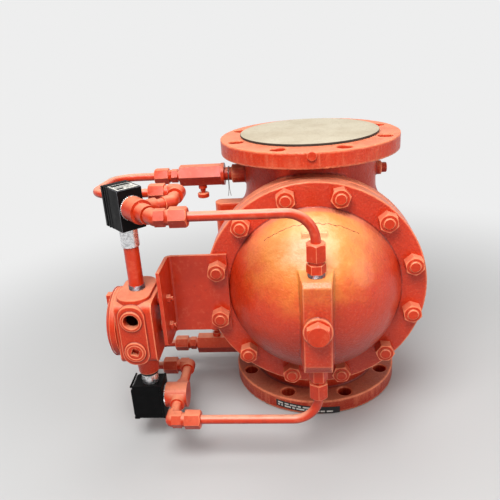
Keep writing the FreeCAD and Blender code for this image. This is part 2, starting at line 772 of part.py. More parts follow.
def cover_group():
    """Domed cover with its vertical port boss, and the gasket under it."""
    flange = cylinder(COVER_EDGE, "cover_flange_thickness", front_point(COVER_BACK), FRONT)
    dome_centre = front_point(COVER_FRONT + " + dome_depth - " + DOME_RADIUS)
    half_space = cylinder(COVER_EDGE, "2 * dome_depth",
                          front_point(COVER_FRONT + " - cover_flange_thickness / 2"), FRONT)
    dome = common(sphere("2 * " + DOME_RADIUS, dome_centre), half_space)
    tall = padded("boss_side", [
        (COVER_FRONT + " + dome_depth / 2", "-boss_half_height"),
        (BOSS_FRONT + " - boss_chamfer", "-boss_half_height"),
        (BOSS_FRONT, "-boss_half_height + boss_chamfer * 2"),
        (BOSS_FRONT, "boss_half_height - boss_chamfer"),
        (BOSS_FRONT + " - boss_chamfer", "boss_half_height"),
        (COVER_FRONT + " + dome_depth / 2", "boss_half_height"),
    ], "boss_root_width", ("boss_root_width / 2", "0", "cover_axis_height"), FRONT, UP)
    drafted = padded("boss_draft", [
        ("-boss_root_width / 2", COVER_FRONT + " + dome_depth / 2"),
        ("boss_root_width / 2", COVER_FRONT + " + dome_depth / 2"),
        ("boss_front_width / 2", BOSS_FRONT),
        ("-boss_front_width / 2", BOSS_FRONT),
    ], "2 * boss_half_height", ("0", "0", "cover_axis_height + boss_half_height"), RIGHT, FRONT)
    boss = common(tall, drafted)
    lug_front = "(" + COVER_FRONT + " + dome_lug_projection)"
    lug = block("dome_lug_width", "dome_lug_depth", "dome_lug_depth",
                ("-dome_lug_width / 2", "-" + lug_front,
                 "cover_axis_height + dome_base_diameter / 2 - dome_lug_drop - dome_lug_depth"))
    collar = cylinder("boss_collar_diameter", "boss_collar_height + 1", front_point(BOSS_FRONT + " - 1"),
                      FRONT)
    outside = fuse(flange, dome, boss, collar, lug)
    inside = common(sphere("2 * (%s - dome_wall)" % DOME_RADIUS, dome_centre),
                    cylinder(COVER_EDGE, "2 * dome_depth", front_point(COVER_BACK), FRONT))
    spring_seat = cylinder("spring_diameter + 2 * spring_wire_diameter", "dome_depth",
                           front_point("spring_seat_reach"), FRONT)
    shell = fuse(cut(outside, inside), common(spring_seat, inside))
    plug_hole = cylinder("cover_plug_thread_diameter + 2 * thread_gap", "cover_plug_thread_length + 4",
                         front_point(BOSS_FRONT + " + boss_collar_height - cover_plug_thread_length"), FRONT)
    pilot = cylinder("pilot_drill_diameter", "dome_depth + boss_projection",
                     front_point("spring_seat_reach - 1"), FRONT)
    cross = cylinder("pilot_drill_diameter", "2 * boss_half_height",
                     ("0", "-" + PORT_LINE, "cover_axis_height - boss_half_height"))
    ports = [cylinder("pipe_diameter + 2 * thread_gap", "pipe_port_depth + 1",
                      ("0", "-" + PORT_LINE,
                       "cover_axis_height %s (boss_half_height - pipe_port_depth)" % sign), direction)
             for sign, direction in (("+", UP), ("-", DOWN))]
    node(cut(shell, plug_hole, pilot, cross, cover_stud_holes(), *ports), "cylinder_cover")
    edge = STUD_CIRCLE + " - cover_stud_diameter - 2 * gasket_rim_gap"
    node(ring("cover_gasket", "gasket_bore_diameter", edge, "cover_joint_reach", COVER_BACK,
              COVER_AXIS, FRONT), "cover_gasket")
    head = hexagon("cover_plug_width", "cover_plug_head",
                   front_point(BOSS_FRONT + " + boss_collar_height"), FRONT, 30.0)
    thread = cylinder("cover_plug_thread_diameter", "cover_plug_thread_length + 1",
                      front_point(BOSS_FRONT + " + boss_collar_height - cover_plug_thread_length + 1"), FRONT)
    node(fuse(chamfered(head, "cover_plug_width", "cover_plug_head",
                        front_point(BOSS_FRONT + " + boss_collar_height"), FRONT), thread), "cover_plug")


def front_point(distance):
    """A point on the cover's axis, at a distance in front of the flow axis."""
    return ("0", "-(" + distance + ")", "cover_axis_height")


def cover_stud_holes():
    """Clearance holes of the cover flange."""
    radius = size("cover_stud_diameter") / 2 + size("stud_hole_clearance")
    back = size("cover_joint_reach") - 1.0
    depth = size("cover_flange_thickness") + size("gasket_thickness") + 3.0
    holes = doc.addObject("Part::Feature", "cover_stud_holes")
    holes.Shape = Part.makeCompound([
        Part.makeCylinder(radius, depth, Vector(spot.x, -back, spot.z), FRONT) for spot in stud_spots()])
    return holes


def chamfered(bar, width, height, base, direction):
    """A hexagonal head with its outer corners turned off."""
    return common(bar, turned("chamfer", [
        ("0", "0"),
        ("(%s) / sqrt(3)" % width, "0"),
        ("(%s) / sqrt(3)" % width, "(%s) - (%s) * hexagon_chamfer_share" % (height, width)),
        ("(%s) * hexagon_top_share / 2" % width, height),
        ("0", height),
    ], base, direction))


def padded(label, corners, length, base, x_axis, y_axis):
    """A flat outline of corners, each held by two formulas, padded square to its plane."""
    body = doc.addObject("PartDesign::Body", "padded_" + label)
    sketch = body.newObject("Sketcher::SketchObject", "outline_" + label)
    sketch.AttachmentSupport = (origin_plane(body, "XY_Plane"), [""])
    sketch.MapMode = "FlatFace"
    hold_corners(sketch, corners)
    pad = body.newObject("PartDesign::Pad", "pad_" + label)
    pad.Profile = sketch
    bind(pad, {"Length": length})
    body.Tip = pad
    turn = Rotation(x_axis, y_axis, x_axis.cross(y_axis), "XYZ")
    body.Placement = Placement(Vector(0, 0, 0), turn)
    return bind(body, {"Placement.Base." + axis: text for axis, text in zip("xyz", base)})


def hardware_on_cover():
    """Twelve studs and nuts; the two beside the bracket stand on its plate."""
    radius = size("cover_stud_diameter") / 2
    root = size("cover_joint_reach") - size("body_flange_thickness") + size("stud_root_gap")
    face = size("cover_joint_reach") + size("gasket_thickness") + size("cover_flange_thickness")
    master = nut_master("cover_nut", "cover_nut_width", "cover_nut_height",
                        "cover_stud_diameter + 2 * stud_thread_clearance")
    studs = []
    spots = []
    for spot in stud_spots():
        on_bracket = spot.x < -worked_out(BRACKET_RIGHT) and (
            size("bracket_bottom_height") < spot.z < size("bracket_top_height"))
        under = face + (size("bracket_thickness") if on_bracket else 0.0)
        length = under + size("cover_nut_height") + size("stud_tail") - root
        studs.append(Part.makeCylinder(radius, length, Vector(spot.x, -root, spot.z), FRONT))
        spots.append(Placement(Vector(spot.x, -under, spot.z), Rotation(UP, FRONT)))
    solid_node(Part.makeCompound(studs), "cover_studs")
    solid_node(copies(master.Shape, spots), "cover_nuts")


def nut_master(label, width, height, bore):
    """One chamfered hexagon nut standing on Z, from which groups of nuts are copied."""
    origin = ("0", "0", "0")
    nut = cut(chamfered(hexagon(width, height, origin), width, height, origin, UP),
              cylinder(bore, "(%s) + 2" % height, ("0", "0", "-1")))
    nut.Label = label + "_pattern"
    doc.recompute()
    return nut


def body_plugs():
    """Hexagon plugs of the body: one in the right-hand neck boss, one in the rim of the top flange."""
    boss_face = ("neck_boss_reach - plug_boss_setback", "0", "upper_needle_height")
    rim = ("0", "-flange_diameter / 2", "face_to_face - flange_thickness / 4")
    plugs = []
    for base, direction, width, head, thread, depth in (
            (boss_face, RIGHT, "neck_plug_width", "neck_plug_head", "neck_plug_thread_diameter",
             "neck_port_depth - port_floor_gap"),
            (rim, FRONT, "rim_plug_width", "rim_plug_head", "rim_plug_thread_diameter",
             "rim_plug_depth - port_floor_gap")):
        start = moved(base, direction, "-(%s)" % depth)
        bar = hexagon(width, head, base, direction, 30.0)
        plugs.append(fuse(chamfered(bar, width, head, base, direction),
                          cylinder(thread, "%s + 1" % depth, start, direction)))
    group("body_plugs", plugs)


tube_nuts = []


def tube_end(base, direction):
    """The male end of a fitting for one tube: its collar and nose, its bore, and its nut.

    Returns the solids, the bore and the place where the tube starts."""
    nose = moved(base, direction, "fitting_collar_length")
    before = moved(nose, direction, "-1")
    nut = chamfered(hexagon("tube_nut_width", "tube_nut_length", nose, direction, 30.0),
                    "tube_nut_width", "tube_nut_length", nose, direction)
    tube_nuts.append(cut(
        nut,
        cylinder("tube_nose_diameter + 2 * thread_gap", "tube_nose_length + thread_gap + 1", before,
                 direction),
        cylinder("tube_diameter + 2 * thread_gap", "tube_nut_length + 2", before, direction)))
    solids = [cylinder("fitting_collar_diameter", "fitting_collar_length", base, direction),
              cylinder("tube_nose_diameter", "fitting_collar_length + tube_nose_length", base, direction)]
    floor = moved(base, direction, "fitting_collar_length + tube_nose_length - tube_grip")
    bore = cylinder("tube_diameter + 2 * thread_gap", "tube_grip + 1", floor, direction)
    return solids, bore, mark(moved(floor, direction, "thread_gap"))


def fitting(label, corner, pipe_side, pipe_steps, tube_side=None, socket=None):
    """An elbow bored through: its pipe leg is stepped down to a male thread or ends in a socket.

    Returns the place where a tube starts, for an elbow with a tube side."""
    solids = [sphere("elbow_diameter", corner)]
    bores = [sphere("elbow_bore_diameter", corner)]
    for diameter, length in pipe_steps:
        solids.append(cylinder(diameter, length, corner, pipe_side))
    bores.append(cylinder("elbow_bore_diameter", pipe_steps[-1][1] + " + 1", corner, pipe_side))
    if socket:
        bores.append(port_bore(moved(corner, pipe_side, pipe_steps[-1][1]), pipe_side))
    start = None
    if tube_side:
        base = moved(corner, tube_side, "elbow_leg")
        ends, bore, start = tube_end(base, tube_side)
        solids += [hexagon("elbow_diameter", "elbow_leg", corner, tube_side, 30.0)] + ends
        way = "elbow_leg + fitting_collar_length + tube_nose_length"
        bores += [bore, cylinder("elbow_bore_diameter", way, corner, tube_side)]
    node(cut(fuse(*solids), *bores), label)
    return start


def bent_tube(label, corners, bend, outer, inner=0.0):
    """A tube or wire along straight runs that are joined by bends of one radius."""
    edges = []
    start = corners[0]
    for before, corner, after in zip(corners, corners[1:], corners[2:]):
        back = (before - corner).normalize()
        onward = (after - corner).normalize()
        half = back.getAngle(onward) / 2
        first = corner + back * (bend / math.tan(half))
        last = corner + onward * (bend / math.tan(half))
        middle = corner + (back + onward).normalize() * (bend / math.sin(half) - bend)
        edges += [Part.makeLine(start, first), Part.Arc(first, middle, last).toShape()]
        start = last
    edges.append(Part.makeLine(start, corners[-1]))
    path = Part.Wire(edges)
    heading = corners[1] - corners[0]

    def swept(diameter):
        circle = Part.Wire([Part.makeCircle(diameter / 2, corners[0], heading)])
        return path.makePipeShell([circle], True, False)

    shape = swept(outer)
    return solid_node(shape.cut(swept(inner)) if inner else shape, label)


def pilot_frame(name):
    """A pilot valve's own frame: its line height, its heading from the conduit, and across it."""
    if name == "upper":
        angle = math.radians(size("upper_pilot_heading"))
        heading = Vector(math.cos(angle), -math.sin(angle), 0)
    else:
        heading = RIGHT
    return name + "_line_height", heading, UP.cross(heading)


def pilot_spot(frame, along, across="0", lift="0"):
    """A point of a pilot valve, measured from its conduit's axis at the height of its line."""
    line, heading, side = frame
    start = ("-" + BOX_AXIS, "-box_axis_front", "%s + (%s)" % (line, lift))
    return moved(moved(start, heading, along), side, across)


def solenoids():
    """The two coils with what is on and in them; the coils differ only in where they point."""
    parts = {"coils": [], "coil_hubs": [], "core_tubes": [], "retaining_rings": []}
    bottoms = {"upper": "-coil_drop - coil_height / 2", "lower": "-coil_drop + coil_height / 2"}
    for name, hub_side in (("upper", DOWN), ("lower", UP)):
        frame = pilot_frame(name)
        heading = frame[1]
        parts["coils"].append(coil(frame, bottoms[name], hub_side))
        parts["coil_hubs"].append(coil_hub(name, frame, bottoms[name], hub_side))
        back = "coil_lead + retaining_ring_thickness + core_tube_entry - core_tube_length"
        inner = "coil_bore_diameter / 2 - thread_gap - core_tube_wall"
        parts["core_tubes"].append(turned("core_tube", [
            ("0", "0"),
            ("coil_bore_diameter / 2 - thread_gap", "0"),
            ("coil_bore_diameter / 2 - thread_gap", "core_tube_length"),
            (inner, "core_tube_length"),
            (inner, CORE_STOP),
            ("0", CORE_STOP),
        ], pilot_spot(frame, back), heading))
        parts["retaining_rings"].append(ring(
            "retaining_ring", "coil_bore_diameter", "retaining_ring_diameter", "0",
            "retaining_ring_thickness", pilot_spot(frame, "coil_lead"), heading))
        plunger(name, frame)
    for label, pieces in parts.items():
        group(label, pieces)


def coil(frame, hub_end, hub_side):
    """A moulded coil, bored for its core tube, its far end rounded, with a recess for its hub."""
    heading = frame[1]
    angle = math.degrees(math.atan2(heading.y, heading.x))
    corner = pilot_spot(frame, "coil_lead - coil_length", "-coil_width / 2", "-coil_drop - coil_height / 2")
    body = block("coil_length", "coil_width", "coil_height", corner, angle)
    back = mark(corner)

    def at_far_end(spot):
        return (spot - back).dot(heading) < 1.0

    softened = rounded(body, frame[2], size("coil_end_radius"), at_far_end)
    bore = cylinder("coil_bore_diameter", "coil_length + 2",
                    pilot_spot(frame, "coil_lead - coil_length - 1"), heading)
    recess = cylinder("coil_hub_spigot + 2 * thread_gap", "coil_hub_grip + 1",
                      moved(pilot_spot(frame, "0", "0", hub_end), hub_side, "-coil_hub_grip"), hub_side)
    return cut(softened, bore, recess)


def coil_hub(name, frame, hub_end, hub_side):
    """The threaded hub between a coil and its conduit, with a spigot in the coil."""
    length = {"upper": "upper_line_height - coil_drop - coil_height / 2 - upper_hub_bottom",
              "lower": LOWER_HUB_LENGTH}[name]
    base = pilot_spot(frame, "0", "0", hub_end)
    spigot = moved(base, hub_side, "-coil_hub_grip + thread_gap")
    outside = fuse(cylinder("coil_hub_diameter", length, base, hub_side),
                   cylinder("coil_hub_spigot", "coil_hub_grip", spigot, hub_side))
    grip = moved(base, hub_side, "%s - hub_thread_depth" % length)
    return cut(outside, cylinder("pipe_bore_diameter", "%s + coil_height" % length, spigot, hub_side),
               cylinder("pipe_diameter + 2 * thread_gap", "hub_thread_depth + 1", grip, hub_side))


def plunger(name, frame):
    """The iron plunger that closes a pilot valve's seat, and its return spring."""
    heading = frame[1]
    width = "coil_bore_diameter - 2 * thread_gap - 2 * core_tube_wall - 2 * running_gap"
    base = pilot_spot(frame, "coil_lead + pilot_seat_setback - body_gap - plunger_length")
    pocket = "plunger_spring_diameter / 2 + plunger_spring_wire"
    node(turned(name + "_plunger", [
        ("0", "plunger_pocket"),
        (pocket, "plunger_pocket"),
        (pocket, "0"),
        ("(%s) / 2" % width, "0"),
        ("(%s) / 2" % width, "plunger_length - plunger_cone_length"),
        ("pilot_orifice_diameter", "plunger_length"),
        ("0", "plunger_length"),
    ], base, heading), name + "_plunger")
    length = size("plunger_pocket") + size("plunger_stroke") + size("body_gap") - 2 * size("thread_gap")
    spring = coil_spring(size("plunger_spring_diameter") / 2, size("plunger_spring_wire") / 2, length,
                         int(size("plunger_spring_turns")))
    start = mark(moved(base, heading, "plunger_pocket - thread_gap"))
    spot = Placement(start, Rotation(UP, heading * -1))
    solid_node(spring.transformed(spot.toMatrix()), name + "_plunger_spring")


def pilot_bodies():
    """The two pilot valve bodies: the upper one has one side port, the lower one has two."""
    frame = pilot_frame("upper")
    heading, side = frame[1], frame[2]
    start = "coil_lead + retaining_ring_thickness"
    nose_end = start + " + upper_pilot_length + upper_nose_length"
    side_port = "coil_lead + upper_side_port_setback"
    outside = fuse(
        cylinder("upper_pilot_diameter", "upper_pilot_length", pilot_spot(frame, start), heading),
        cylinder("upper_nose_diameter", "upper_pilot_length + upper_nose_length", pilot_spot(frame, start),
                 heading),
        cylinder("pilot_boss_diameter", "pilot_boss_reach", pilot_spot(frame, side_port), side))
    front_thread = port_bore(pilot_spot(frame, nose_end), heading)
    side_thread = port_bore(pilot_spot(frame, side_port, "pilot_boss_reach"), side)
    node(cut(outside, *pilot_seat(frame, nose_end), front_thread, side_thread,
             cylinder("pilot_orifice_diameter", "pilot_boss_reach - pilot_orifice_diameter",
                      pilot_spot(frame, side_port, "pilot_orifice_diameter"), side)),
         "upper_pilot_body")
    frame = pilot_frame("lower")
    heading, side = frame[1], frame[2]
    port = "coil_lead + lower_port_setback"
    crossing = pilot_spot(frame, port, "pilot_chamber_diameter / 2 - pilot_chamber_overlap")
    outside = fuse(
        cylinder("lower_pilot_diameter", "lower_pilot_length", pilot_spot(frame, start), heading),
        cylinder("pilot_boss_diameter", "2 * pilot_boss_reach", pilot_spot(frame, port, "-pilot_boss_reach"),
                 side))
    cross_way = "lower_port_setback - pilot_seat_setback + pilot_orifice_diameter"
    node(cut(outside, *pilot_seat(frame, port),
             port_bore(pilot_spot(frame, port, "-pilot_boss_reach"), side * -1),
             port_bore(pilot_spot(frame, port, "pilot_boss_reach"), side),
             cylinder("pilot_inlet_diameter", "pilot_boss_reach", pilot_spot(frame, port), side * -1),
             cylinder("pilot_orifice_diameter", "pilot_boss_reach", crossing, side),
             cylinder("pilot_cross_diameter", cross_way, crossing, heading * -1)),
         "lower_pilot_body")


def pilot_seat(frame, orifice_end):
    """The bore for the core tube, the chamber before the seat, and the way on from the seat."""
    heading = frame[1]
    start = "coil_lead + retaining_ring_thickness"
    return [
        cylinder("coil_bore_diameter", "core_tube_entry + 1", pilot_spot(frame, start + " - 1"), heading),
        cylinder("pilot_chamber_diameter", "pilot_seat_setback - core_tube_entry - retaining_ring_thickness",
                 pilot_spot(frame, start + " + core_tube_entry"), heading),
        cylinder("pilot_orifice_diameter", "(%s) - coil_lead - core_tube_entry" % orifice_end,
                 pilot_spot(frame, "coil_lead + core_tube_entry"), heading)]


def port_bore(face, outward):
    """A threaded port, drilled back from its face."""
    return cylinder("pilot_thread_diameter + 2 * thread_gap", "pilot_thread_depth + 1",
                    moved(face, outward, "-pilot_thread_depth"), outward)


def pilot_lines():
    """Elbows, connectors and tubes that join the cover, the pilot valves and the needle valves."""
    outer, inner = size("tube_diameter"), size("tube_diameter") - 2 * size("tube_wall")
    upper, lower = pilot_frame("upper"), pilot_frame("lower")
    front = "(%s - box_axis_front)" % PORT_LINE
    male = "pilot_thread_depth - body_gap"

    reach = "%s / %.9f" % (front, -upper[1].y)
    gap = "(%s - coil_lead - retaining_ring_thickness - upper_pilot_length - upper_nose_length)" % reach
    elbow_start = fitting("upper_front_elbow", pilot_spot(upper, reach), upper[1] * -1,
                          [("elbow_diameter", "elbow_leg"),
                           ("pilot_thread_diameter", "%s + %s" % (gap, male))], RIGHT)
    cover_end = cover_connector("upper")
    tube_to_cover("upper", cover_end, elbow_start, outer, inner)

    corner = pilot_spot(lower, "coil_lead + lower_port_setback", "-" + front)
    elbow_start = fitting("lower_front_elbow", corner, BACK,
                          [("elbow_diameter", "elbow_leg"),
                           ("pilot_stub_diameter", "%s - pilot_boss_reach" % front),
                           ("pilot_thread_diameter", "%s - pilot_boss_reach + %s" % (front, male))], RIGHT)
    cover_end = cover_connector("lower")
    tube_to_cover("lower", cover_end, elbow_start, outer, inner)

    corner = pilot_spot(upper, "coil_lead + upper_side_port_setback", "upper_side_corner_reach")
    run = "(-upper_rear_line_front - (%s))" % corner[1]
    side_elbow(corner, upper[2] * -1, "upper_side_corner_reach - pilot_boss_reach", run, male)
    street = (corner[0], "-upper_rear_line_front", "upper_line_height")
    start = fitting("upper_rear_elbow", street, FRONT,
                    [("elbow_socket_diameter", "elbow_socket_length")], LEFT, socket=True)
    loop_tube("upper", start, outer, inner)

    corner = pilot_spot(lower, "coil_lead + lower_port_setback", "box_axis_front - lower_rear_line_front")
    run = "box_axis_front - lower_rear_line_front - pilot_boss_reach"
    start = fitting("lower_rear_elbow", corner, FRONT,
                    [("elbow_diameter", "elbow_leg"), ("pilot_stub_diameter", run),
                     ("pilot_thread_diameter", "%s + %s" % (run, male))], LEFT)
    loop_tube("lower", start, outer, inner)


def side_elbow(corner, pipe_side, reach, run, male):
    """The elbow between the upper pilot valve's side port and the socket of the rear elbow."""
    solids = [sphere("side_elbow_diameter", corner)]
    bores = [sphere("side_elbow_bore_diameter", corner)]
    for direction, length in ((pipe_side, reach), (BACK, "%s - elbow_socket_length" % run)):
        solids += [cylinder("side_elbow_diameter", "elbow_leg", corner, direction),
                   cylinder("pilot_stub_diameter", length, corner, direction),
                   cylinder("pilot_thread_diameter", "%s + %s" % (length, male), corner, direction)]
        bores.append(cylinder("side_elbow_bore_diameter", "%s + %s + 1" % (length, male), corner, direction))
    return node(cut(fuse(*solids), *bores), "upper_side_elbow")


def cover_connector(name):
    """A straight connector screwed into one end of the cover's boss."""
    direction, sign = {"upper": (UP, "+"), "lower": (DOWN, "-")}[name]
    face = ("0", "-" + PORT_LINE, "cover_axis_height %s boss_half_height" % sign)
    hex_base = moved(face, direction, "connector_neck")
    ends, bore, start = tube_end(moved(hex_base, direction, name + "_connector_hex"), direction)
    root = moved(face, direction, "-pipe_port_depth + 1")
    solids = [cylinder("pipe_diameter", "pipe_port_depth - 1 + connector_neck + 1", root, direction),
              hexagon("fitting_hex_width", name + "_connector_hex", hex_base, direction)]
    through = cylinder("elbow_bore_diameter",
                       "pipe_port_depth + connector_neck + fitting_collar_length + tube_nose_length + "
                       + name + "_connector_hex", moved(root, direction, "-1"), direction)
    node(cut(fuse(*solids, *ends), bore, through), name + "_cover_connector")
    return start


def tube_to_cover(name, cover_end, elbow_end, outer, inner):
    """The tube between a cover connector and the front elbow of a pilot valve, with one bend."""
    corner = Vector(cover_end.x, cover_end.y, elbow_end.z)
    bent_tube(name + "_cover_tube", [cover_end, corner, elbow_end], size("cover_tube_bend"), outer, inner)


def loop_tube(name, start, outer, inner):
    """The tube looped round behind the conduit from a pilot valve to its needle valve."""
    reach = -worked_out(BOX_AXIS + " + " + name + "_loop_lead")
    end = needle_valve(name)
    bent_tube(name + "_loop_tube", [start, Vector(reach, start.y, start.z), Vector(reach, end.y, end.z), end],
              size("loop_bend"), outer, inner)


needle_parts = {"needle_nipples": [], "needle_connectors": [], "needle_glands": []}


def needle_valve(name):
    """A needle valve on its neck boss, with its nipple, connector, gland, stem and knob.

    Returns the place where its tube starts."""
    height = name + "_needle_height"
    out = {"upper": DOWN, "lower": UP}[name]
    right = ("-needle_body_reach", "0", height)
    left = moved(right, LEFT, "needle_body_length")
    middle = moved(right, LEFT, "needle_stem_setback")
    spindle_face = moved(middle, out, "needle_body_width / 2")
    body = fuse(hexagon("needle_body_width", "needle_body_length", right, LEFT, 30.0),
                cylinder("needle_ring_diameter", "needle_ring_width",
                         moved(right, RIGHT, "needle_ring_width"), LEFT))
    nipple_grip = moved(right, LEFT, "needle_port_depth - needle_ring_width")
    nipple_base = ("-neck_boss_reach + neck_port_depth - port_floor_gap", "0", height)
    nipple_length = ("needle_body_reach + needle_port_depth - needle_ring_width - neck_boss_reach"
                     " + neck_port_depth - port_floor_gap - 1")
    needle_parts["needle_nipples"].append(cut(
        cylinder("pipe_diameter", nipple_length, nipple_base, LEFT),
        cylinder("pipe_bore_diameter", nipple_length + " + 2", moved(nipple_base, RIGHT, "1"), LEFT)))
    node(cut(
        body,
        cylinder("pipe_diameter + 2 * thread_gap", "needle_port_depth + 1", nipple_grip, RIGHT),
        cylinder("tube_nose_diameter + 2 * thread_gap", "needle_port_depth + 1",
                 moved(left, RIGHT, "needle_port_depth"), LEFT),
        cylinder("needle_way_diameter", "needle_body_length", right, LEFT),
        cylinder("needle_bore_diameter", "needle_body_width / 2 + needle_way_diameter / 4 + 1",
                 moved(middle, out, "-needle_way_diameter / 4"), out),
        cylinder("gland_spigot_diameter + 2 * thread_gap", "gland_length + 1",
                 moved(spindle_face, out, "-gland_length"), out)), name + "_needle_body")
    gland = fuse(cylinder("gland_diameter", "gland_length", spindle_face, out),
                 cylinder("gland_spigot_diameter", "2 * gland_length - thread_gap",
                          moved(spindle_face, out, "-gland_length + thread_gap"), out))
    needle_parts["needle_glands"].append(cut(
        gland, cylinder("needle_bore_diameter", "2 * gland_length + 2",
                        moved(spindle_face, out, "-gland_length - 1"), out)))
    needle_spindle(name, middle, out)
    node(turned(name + "_knob", [
        ("knob_hole_diameter / 2", "0"),
        ("knob_diameter / 2 - knob_chamfer", "0"),
        ("knob_diameter / 2", "knob_chamfer"),
        ("knob_diameter / 2", "knob_height - knob_chamfer"),
        ("knob_diameter / 2 - knob_chamfer", "knob_height"),
        ("knob_hole_diameter / 2", "knob_height"),
    ], moved(middle, out, "knob_reach - knob_height"), out), name + "_knob")
    hex_base = moved(left, LEFT, "needle_connector_neck")
    ends, bore, start = tube_end(moved(hex_base, LEFT, "needle_connector_hex"), LEFT)
    root = moved(left, RIGHT, "needle_port_depth - 1")
    needle_parts["needle_connectors"].append(cut(
        fuse(cylinder("tube_nose_diameter", "needle_port_depth + needle_connector_neck", root, LEFT),
             hexagon("needle_connector_width", "needle_connector_hex", hex_base, LEFT, 30.0), *ends),
        cylinder("elbow_bore_diameter", "needle_body_length", moved(root, RIGHT, "1"), LEFT), bore))
    return start


def needle_spindle(name, middle, out):
    """A needle stem with its conical tip and seal groove, and the seal ring in the groove."""
    tip = moved(middle, out, "needle_tip_lift")
    shank = "needle_bore_diameter / 2 - running_gap"
    neck = "knob_hole_diameter / 2 - running_gap"
    shoulder = "knob_reach - needle_tip_lift - knob_height - knob_hub_length"
    groove = "stem_ring_reach - needle_tip_lift"
    node(turned(name + "_stem", [
        ("0", "0"),
        (shank, "needle_bore_diameter / 2"),
        (shank, groove),
        (shank + " - stem_groove_depth", groove),
        (shank + " - stem_groove_depth", groove + " + stem_groove_width"),
        (shank, groove + " + stem_groove_width"),
        (shank, shoulder),
        (neck, shoulder),
        (neck, "knob_reach - needle_tip_lift - stem_end_recess"),
        ("0", "knob_reach - needle_tip_lift - stem_end_recess"),
    ], tip, out), name + "_needle_stem")
    inside = "needle_bore_diameter - 2 * stem_groove_depth"
    start = "stem_ring_reach + (stem_groove_width - stem_ring_width) / 2"
    node(ring(name + "_stem_ring", inside, "needle_bore_diameter - 2 * running_gap", start,
              start + " + stem_ring_width", middle, out), name + "_stem_ring")


def junction_box():
    """The conduit box: body with pads and hubs, screwed cover with its ring, and the plug of one hub."""
    left = "-" + BOX_MOUTH
    right = "(-bracket_left_reach - box_foot_length)"
    back = "(-box_axis_front - box_depth / 2)"
    body = rounded(block("box_axis_offset + box_mouth_offset - box_foot_length", "box_depth",
                         "2 * box_half_height", (left, back, BOX_BOTTOM)), RIGHT, size("box_corner_radius"))
    top_pad = rounded(block("top_pad_width", "top_pad_length", "2 * box_pad_height",
                            ("-" + BOX_AXIS + " - top_pad_width / 2", "-box_axis_front - top_pad_length / 2",
                             BOX_TOP + " - box_pad_height")), UP, size("top_pad_width") * ROUND_SHARE)
    front_pad = block("front_pad_width", "2 * box_pad_height", "front_pad_length",
                      ("-" + BOX_AXIS + " - front_pad_width / 2", back + " - front_pad_height",
                       "box_axis_height - front_pad_length / 2"))
    front_pad = rounded(front_pad, BACK, size("front_pad_width") * ROUND_SHARE)
    pad_face = back + " - front_pad_height"
    hubs, holes = [], []
    for sign in "+-":
        centre = ("-" + BOX_AXIS, pad_face, "box_axis_height %s hub_pitch / 2" % sign)
        hubs.append(cylinder("pipe_diameter + 2 * hub_ring_width", "hub_ring_height + 1",
                             moved(centre, BACK, "1"), FRONT))
        holes.append(cylinder("pipe_diameter + 2 * thread_gap",
                              "2 * box_pad_height + box_wall + hub_ring_height",
                              moved(centre, FRONT, "hub_ring_height + 1"), BACK))
    conduit = ("-" + BOX_AXIS, "-box_axis_front", BOX_BOTTOM)
    bottom_hub = cone("bottom_hub_diameter", "bottom_hub_end_diameter", "bottom_hub_length", conduit, DOWN)
    feet = [cylinder("box_foot_diameter", "box_foot_length + 1",
                     ("-bracket_left_reach - box_foot_length - 1", "-box_axis_front", height), RIGHT)
            for height in BOLT_HEIGHTS]
    bolt_holes = [cylinder("bracket_bolt_diameter + 2 * thread_gap", "bracket_bolt_reach + 1",
                           ("-bracket_left_reach - bracket_bolt_reach", "-box_axis_front", height), RIGHT)
                  for height in BOLT_HEIGHTS]
    cavity = block("box_axis_offset + box_mouth_offset - box_foot_length - box_wall - box_cover_neck_length",
                   "box_depth - 2 * box_wall", "2 * box_half_height - 2 * box_wall",
                   (left + " + box_cover_neck_length", back + " + box_wall", BOX_BOTTOM + " + box_wall"))
    mouth = cylinder("box_cover_neck_diameter", "box_cover_neck_length + 2",
                     (left + " - 1", "-box_axis_front", "box_axis_height"), RIGHT)
    conduit_holes = [
        cylinder("pipe_diameter + 2 * thread_gap", "box_wall + 2 * box_pad_height",
                 ("-" + BOX_AXIS, "-box_axis_front", BOX_TOP + " - box_wall - 1"), UP),
        cylinder("pipe_bore_diameter", "bottom_hub_length + box_wall + 2",
                 ("-" + BOX_AXIS, "-box_axis_front", BOX_BOTTOM + " + box_wall + 1"), DOWN),
        cylinder("pipe_diameter + 2 * thread_gap", "hub_thread_depth + 1",
                 ("-" + BOX_AXIS, "-box_axis_front",
                  BOX_BOTTOM + " - bottom_hub_length + hub_thread_depth"), DOWN)]
    node(cut(fuse(body, top_pad, front_pad, bottom_hub, *hubs, *feet), cavity, mouth, *holes, *conduit_holes,
             *bolt_holes), "junction_box")
    plug_base = ("-" + BOX_AXIS, pad_face + " - hub_ring_height", "box_axis_height - hub_pitch / 2")
    socket = doc.addObject("Part::Prism", "square_socket")
    socket.Polygon = 4
    bind(socket, {"Circumradius": "box_plug_socket / sqrt(2)", "Height": "box_plug_socket_depth + 1"})
    place(socket, moved(plug_base, FRONT, "1"), BACK, 65.0)
    node(cut(cylinder("pipe_diameter", "box_plug_length", plug_base, BACK), socket), "box_plug")


